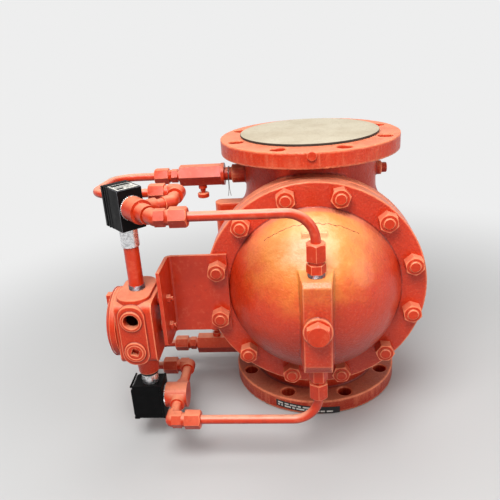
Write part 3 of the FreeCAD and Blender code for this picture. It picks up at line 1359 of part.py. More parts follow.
def box_cover():
    """The screwed round cover of the box, hollow, with two lugs outside, and its sealing ring."""
    base = ("-" + BOX_MOUTH + " - body_gap", "-box_axis_front", "box_axis_height")
    neck = "box_cover_neck_diameter / 2 - running_gap"
    shell = turned("box_cover_shell", [
        ("0", "box_cover_thickness - box_cover_wall"),
        (neck + " - box_cover_wall", "box_cover_thickness - box_cover_wall"),
        (neck + " - box_cover_wall", "-box_cover_neck_length + box_cover_neck_gap"),
        (neck, "-box_cover_neck_length + box_cover_neck_gap"),
        (neck, "0"),
        (RING_INNER, "0"),
        (RING_INNER, "box_ring_wire + running_gap"),
        (RING_OUTER, "box_ring_wire + running_gap"),
        (RING_OUTER, "0"),
        ("box_cover_diameter / 2", "0"),
        ("box_cover_diameter / 2", "box_cover_thickness - box_cover_wall"),
        ("box_cover_diameter / 2 - box_cover_wall", "box_cover_thickness"),
        ("0", "box_cover_thickness"),
    ], base, LEFT)
    face = moved(base, LEFT, "box_cover_thickness - 1")
    lugs = [block("box_cover_lug_height + 1", "box_cover_lug_width", "box_cover_lug_length",
                  (face[0] + " - box_cover_lug_height - 1", "-box_axis_front - box_cover_lug_width / 2",
                   "box_axis_height " + place_z)) for place_z in (
                       "+ box_cover_diameter / 2 - box_cover_lug_length - box_cover_wall",
                       "- box_cover_diameter / 2 + box_cover_wall")]
    node(fuse(shell, *lugs), "box_cover")
    node(ring("box_cover_ring", "2 * (%s + running_gap)" % RING_INNER, "2 * (%s - running_gap)" % RING_OUTER,
              "0", "box_ring_wire", base, LEFT), "box_cover_ring")


def bracket():
    """Angle bracket between the cover flange and the box, with its bolts and nuts."""
    plate = padded("bracket", [
        ("-bracket_left_reach", COVER_FRONT),
        ("-" + BRACKET_RIGHT, COVER_FRONT),
        ("-" + BRACKET_RIGHT, COVER_FRONT + " + bracket_thickness"),
        ("-bracket_left_reach + bracket_thickness", COVER_FRONT + " + bracket_thickness"),
        ("-bracket_left_reach + bracket_thickness", "bracket_leg_front"),
        ("-bracket_left_reach", "bracket_leg_front"),
    ], "bracket_top_height - bracket_bottom_height", ("0", "0", "bracket_top_height"), RIGHT, FRONT)
    thickness = size("bracket_thickness")
    outside = mark(("-bracket_left_reach", "-" + COVER_FRONT, "0"))
    inside = outside + Vector(thickness, -thickness, 0)
    for edge, extra in ((outside, thickness), (inside, 0)):
        plate = rounded(plate, UP, size("bracket_bend_radius") + extra,
                        lambda spot: math.hypot(spot.x - edge.x, spot.y - edge.y) < 0.1)
    corner = padded("bracket_corner", [
        ("bracket_leg_front - bracket_corner_cut_width", "bracket_bottom_height"),
        ("bracket_leg_front + 1", "bracket_bottom_height - 1"),
        ("bracket_leg_front + 1", "bracket_bottom_height + bracket_corner_cut_height"),
    ], "2 * bracket_thickness", ("-bracket_left_reach + bracket_thickness * 1.5", "0", "0"), FRONT, UP)
    radius = size("cover_stud_diameter") / 2 + size("stud_hole_clearance")
    drills = [Part.makeCylinder(radius, 60.0, Vector(spot.x, -size("cover_joint_reach"), spot.z), FRONT)
              for spot in stud_spots() if spot.x < -worked_out(BRACKET_RIGHT)]
    stud_holes = doc.addObject("Part::Feature", "bracket_stud_holes")
    stud_holes.Shape = Part.makeCompound(drills)
    bolts, nuts, holes = [], [], []
    for height in BOLT_HEIGHTS:
        leg = ("-bracket_left_reach", "-box_axis_front", height)
        far = moved(leg, RIGHT, "bracket_thickness")
        root = moved(leg, LEFT, "bracket_bolt_reach - 1")
        holes.append(cylinder("bracket_bolt_diameter + 2 * thread_gap", "2 * bracket_thickness",
                              moved(leg, LEFT, "1"), RIGHT))
        bolts.append(cylinder("bracket_bolt_diameter",
                              "bracket_bolt_reach + bracket_thickness + bracket_nut_height + stud_tail",
                              root, RIGHT))
        nuts.append(cut(
            chamfered(hexagon("bracket_nut_width", "bracket_nut_height", far, RIGHT), "bracket_nut_width",
                      "bracket_nut_height", far, RIGHT),
            cylinder("bracket_bolt_diameter + 2 * thread_gap", "bracket_nut_height + 2",
                     moved(far, LEFT, "1"), RIGHT)))
    node(cut(plate, corner, stud_holes, *holes), "mounting_bracket")
    group("bracket_bolts", bolts)
    group("bracket_nuts", nuts)


def conduit():
    """The nipples between the box and the coil hubs, and the black sealing collar above the lower coil."""
    base = ("-" + BOX_AXIS, "-box_axis_front", BOX_TOP + " + box_pad_height - hub_thread_depth")
    upper_length = "upper_hub_bottom + hub_thread_depth * 2 - 1 - (%s) - box_pad_height" % BOX_TOP
    end = BOX_BOTTOM + " - bottom_hub_length"
    lower_length = "coil_grommet_length + 2 * hub_thread_depth - 2"
    low = ("-" + BOX_AXIS, "-box_axis_front", end + " - coil_grommet_length - hub_thread_depth + 1")
    pipes = [cut(cylinder("pipe_diameter", length, start),
                 cylinder("pipe_bore_diameter", length + " + 2", moved(start, DOWN, "1")))
             for start, length in ((base, upper_length), (low, lower_length))]
    group("conduit_nipples", pipes)
    node(ring("conduit_collar", "pipe_diameter + 2 * thread_gap", "coil_grommet_diameter", "0",
              "coil_grommet_length", ("-" + BOX_AXIS, "-box_axis_front", end + " - coil_grommet_length")),
         "conduit_collar")


def loose_trim():
    """Protection disc on the top face, blank marking strip on the bottom rim, and a lock wire."""
    node(cylinder("transit_disc_diameter", "transit_disc_thickness", ("0", "0", "face_to_face + body_gap")),
         "transit_disc")
    band = ring("strip_band", "flange_diameter", "flange_diameter + 2 * marking_strip_thickness",
                "raised_face_height", "flange_thickness", ("0", "0", "0"))
    window = padded("strip_window", [
        ("-marking_strip_left", "marking_strip_left_height"),
        ("marking_strip_right", "marking_strip_right_height"),
        ("marking_strip_right", "marking_strip_right_height + marking_strip_height"),
        ("-marking_strip_left", "marking_strip_left_height + marking_strip_height"),
    ], "flange_diameter / 2 + 5", ("0", "0", "0"), RIGHT, UP)
    node(common(band, window), "marking_strip")
    centre = mark(("-neck_boss_reach - lock_wire_setback", "0", "upper_needle_height"))
    reach = size("pipe_diameter") / 2 + size("lock_wire_diameter")
    tail = size("lock_wire_tail")
    bent_tube("lock_wire", [centre + Vector(0, reach, -reach), centre + Vector(0, reach, reach),
                            centre + Vector(0, -reach, reach), centre + Vector(0, -reach, -tail)],
              size("pipe_diameter") / 2, size("lock_wire_diameter"))


def finish_groups():
    for label, pieces in needle_parts.items():
        group(label, pieces)
    group("tube_nuts", tube_nuts)


def finish():
    """Recomputes, checks every object and writes one file for each piece."""
    doc.recompute()
    for item in doc.Objects:
        if "Invalid" in item.State or "Error" in item.State:
            raise RuntimeError("object failed: " + item.Name + " " + item.Label)
    os.makedirs("parts", exist_ok=True)
    for piece in nodes:
        if piece.Shape.isNull() or not piece.Shape.isValid() or not piece.Shape.Solids:
            raise RuntimeError("bad shape: " + piece.Label)
        piece.Shape.exportStep("parts/" + piece.Label + ".step")
        box = piece.Shape.BoundBox
        print("%-28s solids %2d volume %10.0f  x %7.1f %7.1f y %7.1f %7.1f z %7.1f %7.1f" % (
            piece.Label, len(piece.Shape.Solids), piece.Shape.Volume,
            box.XMin, box.XMax, box.YMin, box.YMax, box.ZMin, box.ZMax))


flow_valve_body()
seat()
liner()
piston_group()
piston_spring()
cover_group()
hardware_on_cover()
body_plugs()
solenoids()
pilot_bodies()
pilot_lines()
junction_box()
box_cover()
bracket()
conduit()
loose_trim()
finish_groups()
finish()
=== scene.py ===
import json
import math

import bmesh
import bpy
import numpy as np
from mathutils import Matrix, Vector, noise

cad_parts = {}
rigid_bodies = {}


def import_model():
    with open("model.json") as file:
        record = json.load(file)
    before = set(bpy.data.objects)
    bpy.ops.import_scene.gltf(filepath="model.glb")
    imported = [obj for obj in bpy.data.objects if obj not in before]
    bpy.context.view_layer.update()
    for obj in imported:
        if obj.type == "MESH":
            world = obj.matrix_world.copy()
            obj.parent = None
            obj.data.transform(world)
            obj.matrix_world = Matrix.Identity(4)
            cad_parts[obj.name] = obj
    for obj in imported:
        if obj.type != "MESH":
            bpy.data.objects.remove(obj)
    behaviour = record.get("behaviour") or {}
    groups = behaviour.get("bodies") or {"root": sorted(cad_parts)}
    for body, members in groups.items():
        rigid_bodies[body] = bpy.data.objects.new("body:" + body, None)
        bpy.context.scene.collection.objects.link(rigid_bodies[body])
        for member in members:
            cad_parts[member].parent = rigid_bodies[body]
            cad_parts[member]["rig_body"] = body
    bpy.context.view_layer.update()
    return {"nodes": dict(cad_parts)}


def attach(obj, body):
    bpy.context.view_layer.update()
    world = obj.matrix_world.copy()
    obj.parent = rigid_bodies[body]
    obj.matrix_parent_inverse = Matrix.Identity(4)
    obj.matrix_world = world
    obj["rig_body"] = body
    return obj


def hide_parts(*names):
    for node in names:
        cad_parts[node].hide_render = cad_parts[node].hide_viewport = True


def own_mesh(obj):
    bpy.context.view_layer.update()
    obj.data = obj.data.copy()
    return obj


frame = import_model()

MM = 0.001


# The photograph's view.
# One camera a little above the valve, looking down on it, turned and rolled slightly.
VIEW_PLACE = Vector((-19.3, -902.2, 599.5)) * MM
VIEW_YAW, VIEW_PITCH, VIEW_ROLL = (math.radians(angle) for angle in (-5.43, 21.88, -3.78))
VIEW_FOCAL_PIXELS = 569.75
FRAME_PIXELS = 500
SENSOR = 36.0

ahead = Vector((math.sin(VIEW_YAW) * math.cos(VIEW_PITCH), math.cos(VIEW_YAW) * math.cos(VIEW_PITCH),
                -math.sin(VIEW_PITCH)))
level = Vector((math.cos(VIEW_YAW), -math.sin(VIEW_YAW), 0.0))
upright = level.cross(ahead)
right_hand = level * math.cos(VIEW_ROLL) + upright * math.sin(VIEW_ROLL)
overhead = upright * math.cos(VIEW_ROLL) - level * math.sin(VIEW_ROLL)
camera = bpy.data.objects.new("photo_camera", bpy.data.cameras.new("photo_camera"))
camera.data.sensor_width = SENSOR
camera.data.lens = VIEW_FOCAL_PIXELS * SENSOR / FRAME_PIXELS
facing = Matrix((right_hand, overhead, -ahead)).transposed().to_4x4()
camera.matrix_world = Matrix.Translation(VIEW_PLACE) @ facing
bpy.context.scene.collection.objects.link(camera)
bpy.context.scene.camera = camera
bpy.context.scene.view_settings.view_transform = "Standard"


# Floor, backdrop and lamps.
# A pale bench that runs on into a pale wall, one broad lamp high in front of the dome, weaker ones
# over the back and at the right.
BENCH_PALE = (0.52, 0.52, 0.515, 1)
WALL_PALE = (0.855, 0.855, 0.855, 1)
BENCH_CLEAR = 0.32
BENCH_FADED = 1.05


def add(tree, kind, inputs=(), **settings):
    """One node in a tree; an input, by name or number, is a value or another node's output."""
    made = tree.nodes.new(kind)
    for name, value in settings.items():
        setattr(made, name, value)
    for name, value in dict(inputs).items():
        if isinstance(value, bpy.types.NodeSocket):
            tree.links.new(value, made.inputs[name])
        else:
            made.inputs[name].default_value = value
    return made


def math_of(tree, operation, first, second=0.0):
    return add(tree, "ShaderNodeMath", {0: first, 1: second}, operation=operation).outputs[0]


def pale_bench(reach):
    """The bench top; away from the valve it turns into the wall's even tone where the camera sees it."""
    mesh = bpy.data.meshes.new("bench")
    mesh.from_pydata([(-reach, -reach, 0), (reach, -reach, 0), (reach, reach, 0), (-reach, reach, 0)], [],
                     [(0, 1, 2, 3)])
    bench = bpy.data.objects.new("bench", mesh)
    bpy.context.scene.collection.objects.link(bench)
    material = bpy.data.materials.new("bench")
    material.use_nodes = True
    tree = material.node_tree
    shader = tree.nodes["Principled BSDF"]
    shader.inputs["Base Color"].default_value = BENCH_PALE
    shader.inputs["Roughness"].default_value = 0.9
    shader.inputs["Specular IOR Level"].default_value = 0.2
    place = add(tree, "ShaderNodeTexCoord").outputs["Object"]
    away = add(tree, "ShaderNodeVectorMath", {0: place}, operation="LENGTH").outputs["Value"]
    faded = add(tree, "ShaderNodeMapRange", {"Value": away, "From Min": BENCH_CLEAR, "From Max": BENCH_FADED},
                interpolation_type="SMOOTHSTEP").outputs[0]
    rays = add(tree, "ShaderNodeLightPath").outputs
    looked_at = math_of(tree, "MAXIMUM", rays["Is Camera Ray"], rays["Is Glossy Ray"])
    even = add(tree, "ShaderNodeEmission", {"Color": WALL_PALE, "Strength": 1.0})
    both = add(tree, "ShaderNodeMixShader", {0: math_of(tree, "MULTIPLY", faded, looked_at),
                                             1: shader.outputs[0], 2: even.outputs[0]})
    tree.links.new(both.outputs[0], tree.nodes["Material Output"].inputs["Surface"])
    mesh.materials.append(material)


def pale_wall(seen, mirrored, given):
    """Soft light from all round, paler where the camera sees it or a mirror-like surface does."""
    world = bpy.data.worlds.new("studio")
    world.use_nodes = True
    bpy.context.scene.world = world
    tree = world.node_tree
    rays = add(tree, "ShaderNodeLightPath").outputs
    glossy = add(tree, "ShaderNodeMapRange", {"Value": rays["Is Glossy Ray"], "To Min": given,
                                              "To Max": mirrored})
    strength = add(tree, "ShaderNodeMapRange", {"Value": rays["Is Camera Ray"], "To Min": glossy.outputs[0],
                                                "To Max": seen})
    sky = tree.nodes["Background"]
    sky.inputs["Color"].default_value = (1.0, 1.0, 1.0, 1)
    tree.links.new(strength.outputs[0], sky.inputs["Strength"])


def lamp(name, place, aim, size, power):
    light = bpy.data.lights.new(name, "AREA")
    light.shape = "DISK"
    light.size = size
    light.energy = power
    made = bpy.data.objects.new(name, light)
    made.location = place
    made.rotation_euler = (Vector(aim) - Vector(place)).to_track_quat("-Z", "Y").to_euler()
    bpy.context.scene.collection.objects.link(made)


pale_bench(reach=9.0)
pale_wall(seen=0.855, mirrored=0.46, given=0.27)
lamp("front_lamp", place=(-0.25, -0.90, 1.55), aim=(0.0, -0.15, 0.25), size=0.95, power=29.0)
lamp("back_lamp", place=(0.1, 0.5, 1.9), aim=(0.0, 0.0, 0.3), size=1.1, power=10.0)
lamp("right_lamp", place=(1.6, -0.8, 0.8), aim=(0.0, 0.0, 0.2), size=1.0, power=8.5)


# Main body.
# Cast iron in one piece: flanges, necks, bulb and the ring under the cover, sprayed with orange-red
# enamel after assembly. The sand of the mould still shows. Upward faces are painted paler, as dust and
# as painted top light; edges lighter, as thin paint and painted highlight; downward faces, hollows and
# the foot darker, as painted shade with some grime in the hollows.
ENAMEL_RED = (0.64, 0.037, 0.0055, 1)
ENAMEL_DUST_AND_PAINTED_LIGHT = (0.80, 0.27, 0.145, 1)
ENAMEL_SHADE_AND_GRIME = (0.14, 0.005, 0.003, 1)
ENAMEL_THIN_AND_EDGE_HIGHLIGHT = (0.92, 0.27, 0.13, 1)
BODY_VOXEL = 1.6
FULL_MESH = 176000
CAST_RIPPLE = 0.15
RIPPLES_A_METRE = 130.0
BEND_VOXELS = 2.2
BEND_ROUNDS = 2
BEND_MARK_GAIN, BEND_MARK_START = 2.4, 0.3


def new_group(name, inputs, outputs):
    """An empty shader group with named sockets; gives its tree, its inputs and its output node."""
    tree = bpy.data.node_groups.new(name, "ShaderNodeTree")
    kinds = {float: "NodeSocketFloat", tuple: "NodeSocketColor"}
    for label, value in inputs.items():
        socket = tree.interface.new_socket(label, in_out="INPUT", socket_type=kinds[type(value)])
        socket.default_value = value
    for label, kind in outputs.items():
        tree.interface.new_socket(label, in_out="OUTPUT", socket_type=kinds[kind])
    return tree, tree.nodes.new("NodeGroupInput").outputs, tree.nodes.new("NodeGroupOutput")


def blended(tree, share, first, second):
    """A colour mixed from two by a share."""
    return add(tree, "ShaderNodeMix", {0: share, 6: first, 7: second}, data_type="RGBA").outputs[2]


def ranged(tree, value, low, high, start=0.0, end=1.0):
    """A value stretched smoothly from one range to another."""
    return add(tree, "ShaderNodeMapRange", {"Value": value, "From Min": low, "From Max": high,
                                            "To Min": start, "To Max": end},
               interpolation_type="SMOOTHSTEP").outputs[0]


def cloud(tree, place, scale, detail=3.0, roughness=0.55):
    """Plain noise in the object's own space; scale is in features a metre."""
    return add(tree, "ShaderNodeTexNoise", {"Vector": place, "Scale": scale, "Detail": detail,
                                            "Roughness": roughness}).outputs["Fac"]


def own_place(tree):
    return add(tree, "ShaderNodeTexCoord").outputs["Object"]


def facing_up(tree):
    normal = add(tree, "ShaderNodeNewGeometry").outputs["Normal"]
    return add(tree, "ShaderNodeSeparateXYZ", {0: normal}).outputs["Z"]


def marked(tree, name):
    """A mark that the piece's mesh carries, from 0 to 1."""
    return add(tree, "ShaderNodeAttribute", attribute_name=name).outputs["Fac"]


def enamel_group():
    """Sprayed enamel: paler where it faces up (dust and painted top light), lighter on edges (thin paint and
    painted highlight), painted shade on downward faces, near the foot and in hollows, mottled and grained.
    """
    tree, given, put = new_group("sprayed_enamel", {
        "Paint": ENAMEL_RED, "Chalked": ENAMEL_DUST_AND_PAINTED_LIGHT, "Shade_and_grime": ENAMEL_SHADE_AND_GRIME, "Thin_and_edge_highlight": ENAMEL_THIN_AND_EDGE_HIGHLIGHT,
        "Grain": 300.0, "Chalk": 1.0, "Pits": 0.3}, {"Color": tuple, "Roughness": float, "Height": float})
    place = own_place(tree)
    facing = facing_up(tree)
    mottle = cloud(tree, place, 45.0, 5.0, 0.65)
    grain = cloud(tree, place, given["Grain"], 3.0, 0.6)
    specks = add(tree, "ShaderNodeTexVoronoi", {"Vector": place, "Scale": 260.0}).outputs["Distance"]
    patchy = ranged(tree, mottle, 0.25, 0.6, 0.6, 1.0)
    # Upward faces are painted paler: partly dust, partly painted top light.
    upward_dust_and_light = math_of(tree, "MULTIPLY", ranged(tree, facing, 0.30, 1.0), patchy)
    top_dust_and_light = math_of(tree, "MULTIPLY", upward_dust_and_light, given["Chalk"])
    color = blended(tree, top_dust_and_light, given["Paint"], given["Chalked"])
    # Painted shade: faces turned downwards are painted darker.
    color = blended(tree, ranged(tree, facing, 0.0, -0.8, 0.0, 0.65), color, given["Shade_and_grime"])
    color = blended(tree, ranged(tree, cloud(tree, place, 9.0), 0.35, 0.7, 0.0, 0.20), color, given["Shade_and_grime"])
    # Painted shade: the enamel darkens towards the bottom, from 40 mm down to 24 mm height.
    low = add(tree, "ShaderNodeSeparateXYZ", {0: place}).outputs["Z"]
    color = blended(tree, ranged(tree, low, 0.040, 0.024, 0.0, 0.45), color, given["Shade_and_grime"])
    color = blended(tree, ranged(tree, grain, 0.55, 0.72, 0.0, 0.16), color, given["Shade_and_grime"])
    color = blended(tree, ranged(tree, grain, 0.48, 0.30, 0.0, 0.14), color, given["Thin_and_edge_highlight"])
    # Edges are painted lighter: partly thin paint, partly a painted edge highlight.
    lighter_edges = math_of(tree, "MULTIPLY", marked(tree, "outer_edge"), ranged(tree, mottle, 0.32, 0.62, 0.6, 1.0))
    color = blended(tree, lighter_edges, color, given["Thin_and_edge_highlight"])
    # Painted shade with some grime: hollows and creases of the castings are painted darker.
    color = blended(tree, math_of(tree, "MULTIPLY", marked(tree, "hollow_shade_and_grime"), 0.8), color, given["Shade_and_grime"])
    pits = math_of(tree, "MULTIPLY", ranged(tree, specks, 0.16, 0.03), ranged(tree, mottle, 0.5, 0.68))
    pits = math_of(tree, "MULTIPLY", pits, given["Pits"])
    color = blended(tree, pits, color, given["Shade_and_grime"])
    height = math_of(tree, "ADD", grain, ranged(tree, mottle, 0.3, 0.7, 0.0, 0.5))
    rough = math_of(tree, "ADD", ranged(tree, mottle, 0.3, 0.7, 0.32, 0.46),
                    math_of(tree, "MULTIPLY", top_dust_and_light, 0.10))
    for name, output in (("Color", color), ("Roughness", rough),
                         ("Height", math_of(tree, "SUBTRACT", height, pits))):
        tree.links.new(output, put.inputs[name])
    return tree


sprayed = enamel_group()


def new_material(name):
    """A new material; gives it with its tree and its shader."""
    material = bpy.data.materials.new(name)
    material.use_nodes = True
    return material, material.node_tree, material.node_tree.nodes["Principled BSDF"]


def bumped(tree, height, distance):
    """A normal from a height; the distance is how deep the relief is, in metres."""
    relief = add(tree, "ShaderNodeBump", {"Height": height, "Distance": distance, "Strength": 1.0})
    return relief.outputs["Normal"]


def enamel(name, grain, relief, coat=0.08, **changed):
    """One enamel finish: how fine its grain is in features a metre, and how deep in metres."""
    material, tree, shader = new_material(name)
    film = add(tree, "ShaderNodeGroup", node_tree=sprayed)
    for label, value in dict({"Grain": grain}, **changed).items():
        film.inputs[label].default_value = value
    tree.links.new(film.outputs["Color"], shader.inputs["Base Color"])
    tree.links.new(film.outputs["Roughness"], shader.inputs["Roughness"])
    tree.links.new(bumped(tree, film.outputs["Height"], relief), shader.inputs["Normal"])
    shader.inputs["Coat Weight"].default_value = coat
    shader.inputs["Coat Roughness"].default_value = 0.22
    shader.inputs["Specular IOR Level"].default_value = 0.30
    return material


def in_scene(name, mesh):
    made = bpy.data.objects.new(name, mesh)
    bpy.context.scene.collection.objects.link(made)
    return made


def settled(piece):
    """Turns what a piece's modifiers make into its own plain mesh."""
    graph = bpy.context.evaluated_depsgraph_get()
    mesh = bpy.data.meshes.new_from_object(piece.evaluated_get(graph))
    piece.modifiers.clear()
    piece.data = mesh
    return piece


def copy_of(node, name, flat_faces=True):
    """A CAD node's mesh with its loose triangles joined and, for flat pieces, its flat faces whole."""
    piece = in_scene(name, frame["nodes"][node].data.copy())
    work = bmesh.new()
    work.from_mesh(piece.data)
    bmesh.ops.remove_doubles(work, verts=work.verts, dist=1e-6)
    if flat_faces:
        bmesh.ops.dissolve_limit(work, angle_limit=math.radians(0.3), verts=work.verts, edges=work.edges)
    work.to_mesh(piece.data)
    work.free()
    return piece


def vertex_rows(mesh, what):
    rows = np.empty(len(mesh.vertices) * 3)
    mesh.vertices.foreach_get(what, rows)
    return rows.reshape(-1, 3)


def marks_by_bend(piece, reach):
    """Marks edges and hollows from how sharply the surface bends; reach is the bend's radius in mm."""
    mesh = piece.data
    count = len(mesh.vertices)
    ends = np.empty(len(mesh.edges) * 2, dtype=np.int64)
    mesh.edges.foreach_get("vertices", ends)
    spots, normals, ends = vertex_rows(mesh, "co"), vertex_rows(mesh, "normal"), ends.reshape(-1, 2)
    along = spots[ends[:, 1]] - spots[ends[:, 0]]
    turn = normals[ends[:, 1]] - normals[ends[:, 0]]
    bend = (along * turn).sum(axis=1) / np.maximum((along ** 2).sum(axis=1), 1e-12)
    for _ in range(BEND_ROUNDS):
        shares = np.bincount(ends.ravel(), minlength=count)
        mean = np.bincount(ends.ravel(), weights=np.repeat(bend, 2), minlength=count) / np.maximum(shares, 1)
        bend = mean[ends].mean(axis=1)
    mean *= reach * MM
    for name, sharpness in (("outer_edge", mean), ("hollow_shade_and_grime", -mean)):
        value = np.clip(BEND_MARK_GAIN * sharpness - BEND_MARK_START, 0.0, 1.0)
        mesh.attributes.new(name, "FLOAT", "POINT").data.foreach_set("value", value)


def cast(node, name, voxel, faces, ripple):
    """A CAD node as a sand casting: its corners run together, its skin uneven by a ripple in mm."""
    piece = copy_of(node, name, flat_faces=False)
    remesh = piece.modifiers.new("skin", "REMESH")
    remesh.mode = "VOXEL"
    remesh.voxel_size = voxel * MM
    smooth = piece.modifiers.new("run", "SMOOTH")
    smooth.factor = 0.5
    smooth.iterations = 1
    settled(piece)
    triangles = sum(len(face.vertices) - 2 for face in piece.data.polygons)
    if triangles > faces:
        thin = piece.modifiers.new("thin", "DECIMATE")
        thin.ratio = faces / triangles
        settled(piece)
    spots, normals = vertex_rows(piece.data, "co"), vertex_rows(piece.data, "normal")
    lift = np.array([noise.noise(Vector(spot) * RIPPLES_A_METRE) for spot in spots]) * ripple * MM
    piece.data.vertices.foreach_set("co", (spots + normals * lift[:, None]).ravel())
    piece.data.update()
    marks_by_bend(piece, BEND_VOXELS * voxel)
    piece.data.shade_smooth()
    return piece


def dress(piece, material, slot, *nodes):
    """Paints a piece, hangs it on its node's body and lets it stand for its CAD nodes."""
    piece.data.materials.clear()
    piece.data.materials.append(material)
    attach(piece, frame["nodes"][nodes[0]]["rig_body"])
    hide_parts(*nodes)
    return piece


body_enamel = enamel("body_enamel", grain=330.0, relief=0.0010)
body_casting = cast("valve_body", "body_casting", BODY_VOXEL, FULL_MESH, CAST_RIPPLE)
dress(body_casting, body_enamel, "red_paint", "valve_body")


# Domed cover.
# A second iron casting, with its vertical boss, a lug on top and a thin flash line where the two
# halves of its mould met. Its sandy crown carries a painted highlight, palest round one spot.
COVER_VOXEL = 1.1
DOME_CENTRE = (0.0, -115.9, 229.4)
DOME_RADIUS = 128.1
FLASH_RADIUS = 113.0
FLASH_STEPS = 60
FLASH_DRIFT = 1.6
FLASH_THICK, FLASH_SWING, FLASH_THINNEST = 0.42, 0.75, 0.05
HIGHLIGHT_SPOT = (-0.007, -0.195, 0.320)
HIGHLIGHT_FADES, HIGHLIGHT_CORE_FADES = (0.115, 0.022), (0.055, 0.015)
DOME_STARTS = (-0.150, -0.158)
ENAMEL_HIGHLIGHT_HALO = (0.95, 0.37, 0.06, 1)
ENAMEL_HIGHLIGHT_CORE = (0.98, 0.66, 0.38, 1)


def cover_enamel():
    """The body's enamel with a coarser grain and a painted highlight round one spot of the crown; places in
    metres.
    """
    material = enamel("cover_enamel", grain=320.0, relief=0.0013, coat=0.35, Pits=0.5)
    tree = material.node_tree
    shader = tree.nodes["Principled BSDF"]
    film = shader.inputs["Base Color"].links[0].from_socket
    place = own_place(tree)
    away = add(tree, "ShaderNodeVectorMath", {0: place, 1: HIGHLIGHT_SPOT}, operation="DISTANCE")
    ragged = ranged(tree, cloud(tree, place, 30.0, 5.0, 0.7), 0.3, 0.7, -0.012, 0.012)
    uneven = math_of(tree, "ADD", away.outputs["Value"], ragged)
    forward = add(tree, "ShaderNodeSeparateXYZ", {0: place}).outputs["Y"]
    on_dome = ranged(tree, forward, *DOME_STARTS)
    # Painted highlight: an orange-yellow halo and a pale core round one spot of the dome.
    share = math_of(tree, "MULTIPLY", ranged(tree, uneven, *HIGHLIGHT_FADES, 0.0, 0.80), on_dome)
    color = blended(tree, share, film, ENAMEL_HIGHLIGHT_HALO)
    highlight_core = math_of(tree, "MULTIPLY", ranged(tree, uneven, *HIGHLIGHT_CORE_FADES, 0.0, 0.6), on_dome)
    tree.links.new(blended(tree, highlight_core, color, ENAMEL_HIGHLIGHT_CORE), shader.inputs["Base Color"])
    return material


def wire_mesh(name, points, radii, sides=2):
    """A round wire through points in mm, its radius given at each."""
    curve = bpy.data.curves.new(name, "CURVE")
    curve.dimensions = "3D"
    curve.bevel_depth = 1.0
    curve.bevel_resolution = sides
    curve.use_fill_caps = True
    line = curve.splines.new("POLY")
    line.points.add(len(points) - 1)
    for spot, point, radius in zip(line.points, points, radii):
        spot.co = (*(Vector(point) * MM), 1)
        spot.radius = radius * MM
    holder = bpy.data.objects.new(name, curve)
    mesh = bpy.data.meshes.new_from_object(holder)
    bpy.data.objects.remove(holder)
    mesh.shade_smooth()
    return mesh


def flash_points(start, end):
    """Points on the dome's flash line between two angles, wandering a little, and the radius at each."""
    points, radii = [], []
    for step in range(FLASH_STEPS + 1):
        angle = math.radians(start + (end - start) * step / FLASH_STEPS)
        radius = FLASH_RADIUS + noise.noise(Vector((angle * 14.0, 2.0, 0.0))) * FLASH_DRIFT
        deep = DOME_CENTRE[1] - math.sqrt(DOME_RADIUS ** 2 - radius ** 2)
        points.append((math.cos(angle) * radius, deep, DOME_CENTRE[2] + math.sin(angle) * radius))
        swing = FLASH_SWING * noise.noise(Vector((angle * 30.0, 7.0, 0.0)))
        radii.append(max(FLASH_THINNEST, FLASH_THICK + swing))
    return points, radii


def ride_on(piece, material, body):
    """Paints an added piece and hangs it on a body; it stands for no CAD node."""
    piece.data.materials.clear()
    piece.data.materials.append(material)
    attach(piece, body)
    return piece


dome_enamel = cover_enamel()
cover_casting = cast("cylinder_cover", "cover_casting", COVER_VOXEL, FULL_MESH, CAST_RIPPLE)
dress(cover_casting, dome_enamel, "red_paint", "cylinder_cover")
# The flash line is painted dark, partly dirt and partly its own painted shade.
seam_enamel = enamel("seam_enamel", grain=300.0, relief=0.0002, Paint=(0.22, 0.014, 0.010, 1), Chalk=0.3)
flash_line = wire_mesh("cover_flash_line", *flash_points(start=58.0, end=127.0))
ride_on(in_scene("cover_flash_line", flash_line), seam_enamel, "valve")


# Cover studs and nuts.
# Twelve steel studs with heavy hexagon nuts, tightened as they came and painted over with the rest;
# two nuts on the left stand on the bracket's plate.
NUT_WIDTH = 25.0
NUT_HEIGHT = 15.9
NUT_CROWN = 0.94
NUT_SPIN = 0.5
COUNTERSINK_WIDTH, COUNTERSINK_DEPTH = 0.9, 0.8
CHAMFER_TILTS = (0.3, 0.95)
STUD_RADIUS = 7.95
STUD_TAIL = 2.5
STUD_CHAMFER = 1.2
STUD_ROOT = -46.5
STUD_CIRCLE = 145.2
STUD_COUNT = 12
COVER_FACE = 144.0
COVER_AXIS = 229.4
BRACKET_PLATE = 5.0
BRACKET_EDGE = -126.0


def looped(name, loops, closed=False):
    """A mesh from rings of equal count, each joined to the next; the first and last are filled."""
    work = bmesh.new()
    rings = [[work.verts.new(Vector(spot) * MM) for spot in loop] for loop in loops]
    pairs = list(zip(rings, rings[1:] + rings[:1] if closed else rings[1:]))
    for first, second in pairs:
        for index in range(len(first)):
            after = (index + 1) % len(first)
            work.faces.new((first[index], first[after], second[after], second[index]))
    if not closed:
        work.faces.new(list(reversed(rings[0])))
        work.faces.new(rings[-1])
    bmesh.ops.recalc_face_normals(work, faces=work.faces)
    mesh = bpy.data.meshes.new(name)
    work.to_mesh(mesh)
    work.free()
    mesh.shade_smooth()
    mesh.set_sharp_from_angle(angle=math.radians(32))
    return mesh


def circle_loop(radius, height, steps=48):
    angles = [2 * math.pi * step / steps for step in range(steps)]
    return [(math.cos(angle) * radius, math.sin(angle) * radius, height) for angle in angles]


def hexagon_loop(width, height, crown, slope, steps=48):
    """A hexagon's outline whose corners drop below a crown circle, as a chamfered nut's do."""
    spots = []
    for step in range(steps):
        angle = 2 * math.pi * step / steps
        reach = width / 2 / math.cos((angle % (math.pi / 3)) - math.pi / 6)
        drop = max(0.0, reach - crown) * slope
        spots.append((math.cos(angle) * reach, math.sin(angle) * reach, height - drop))
    return spots


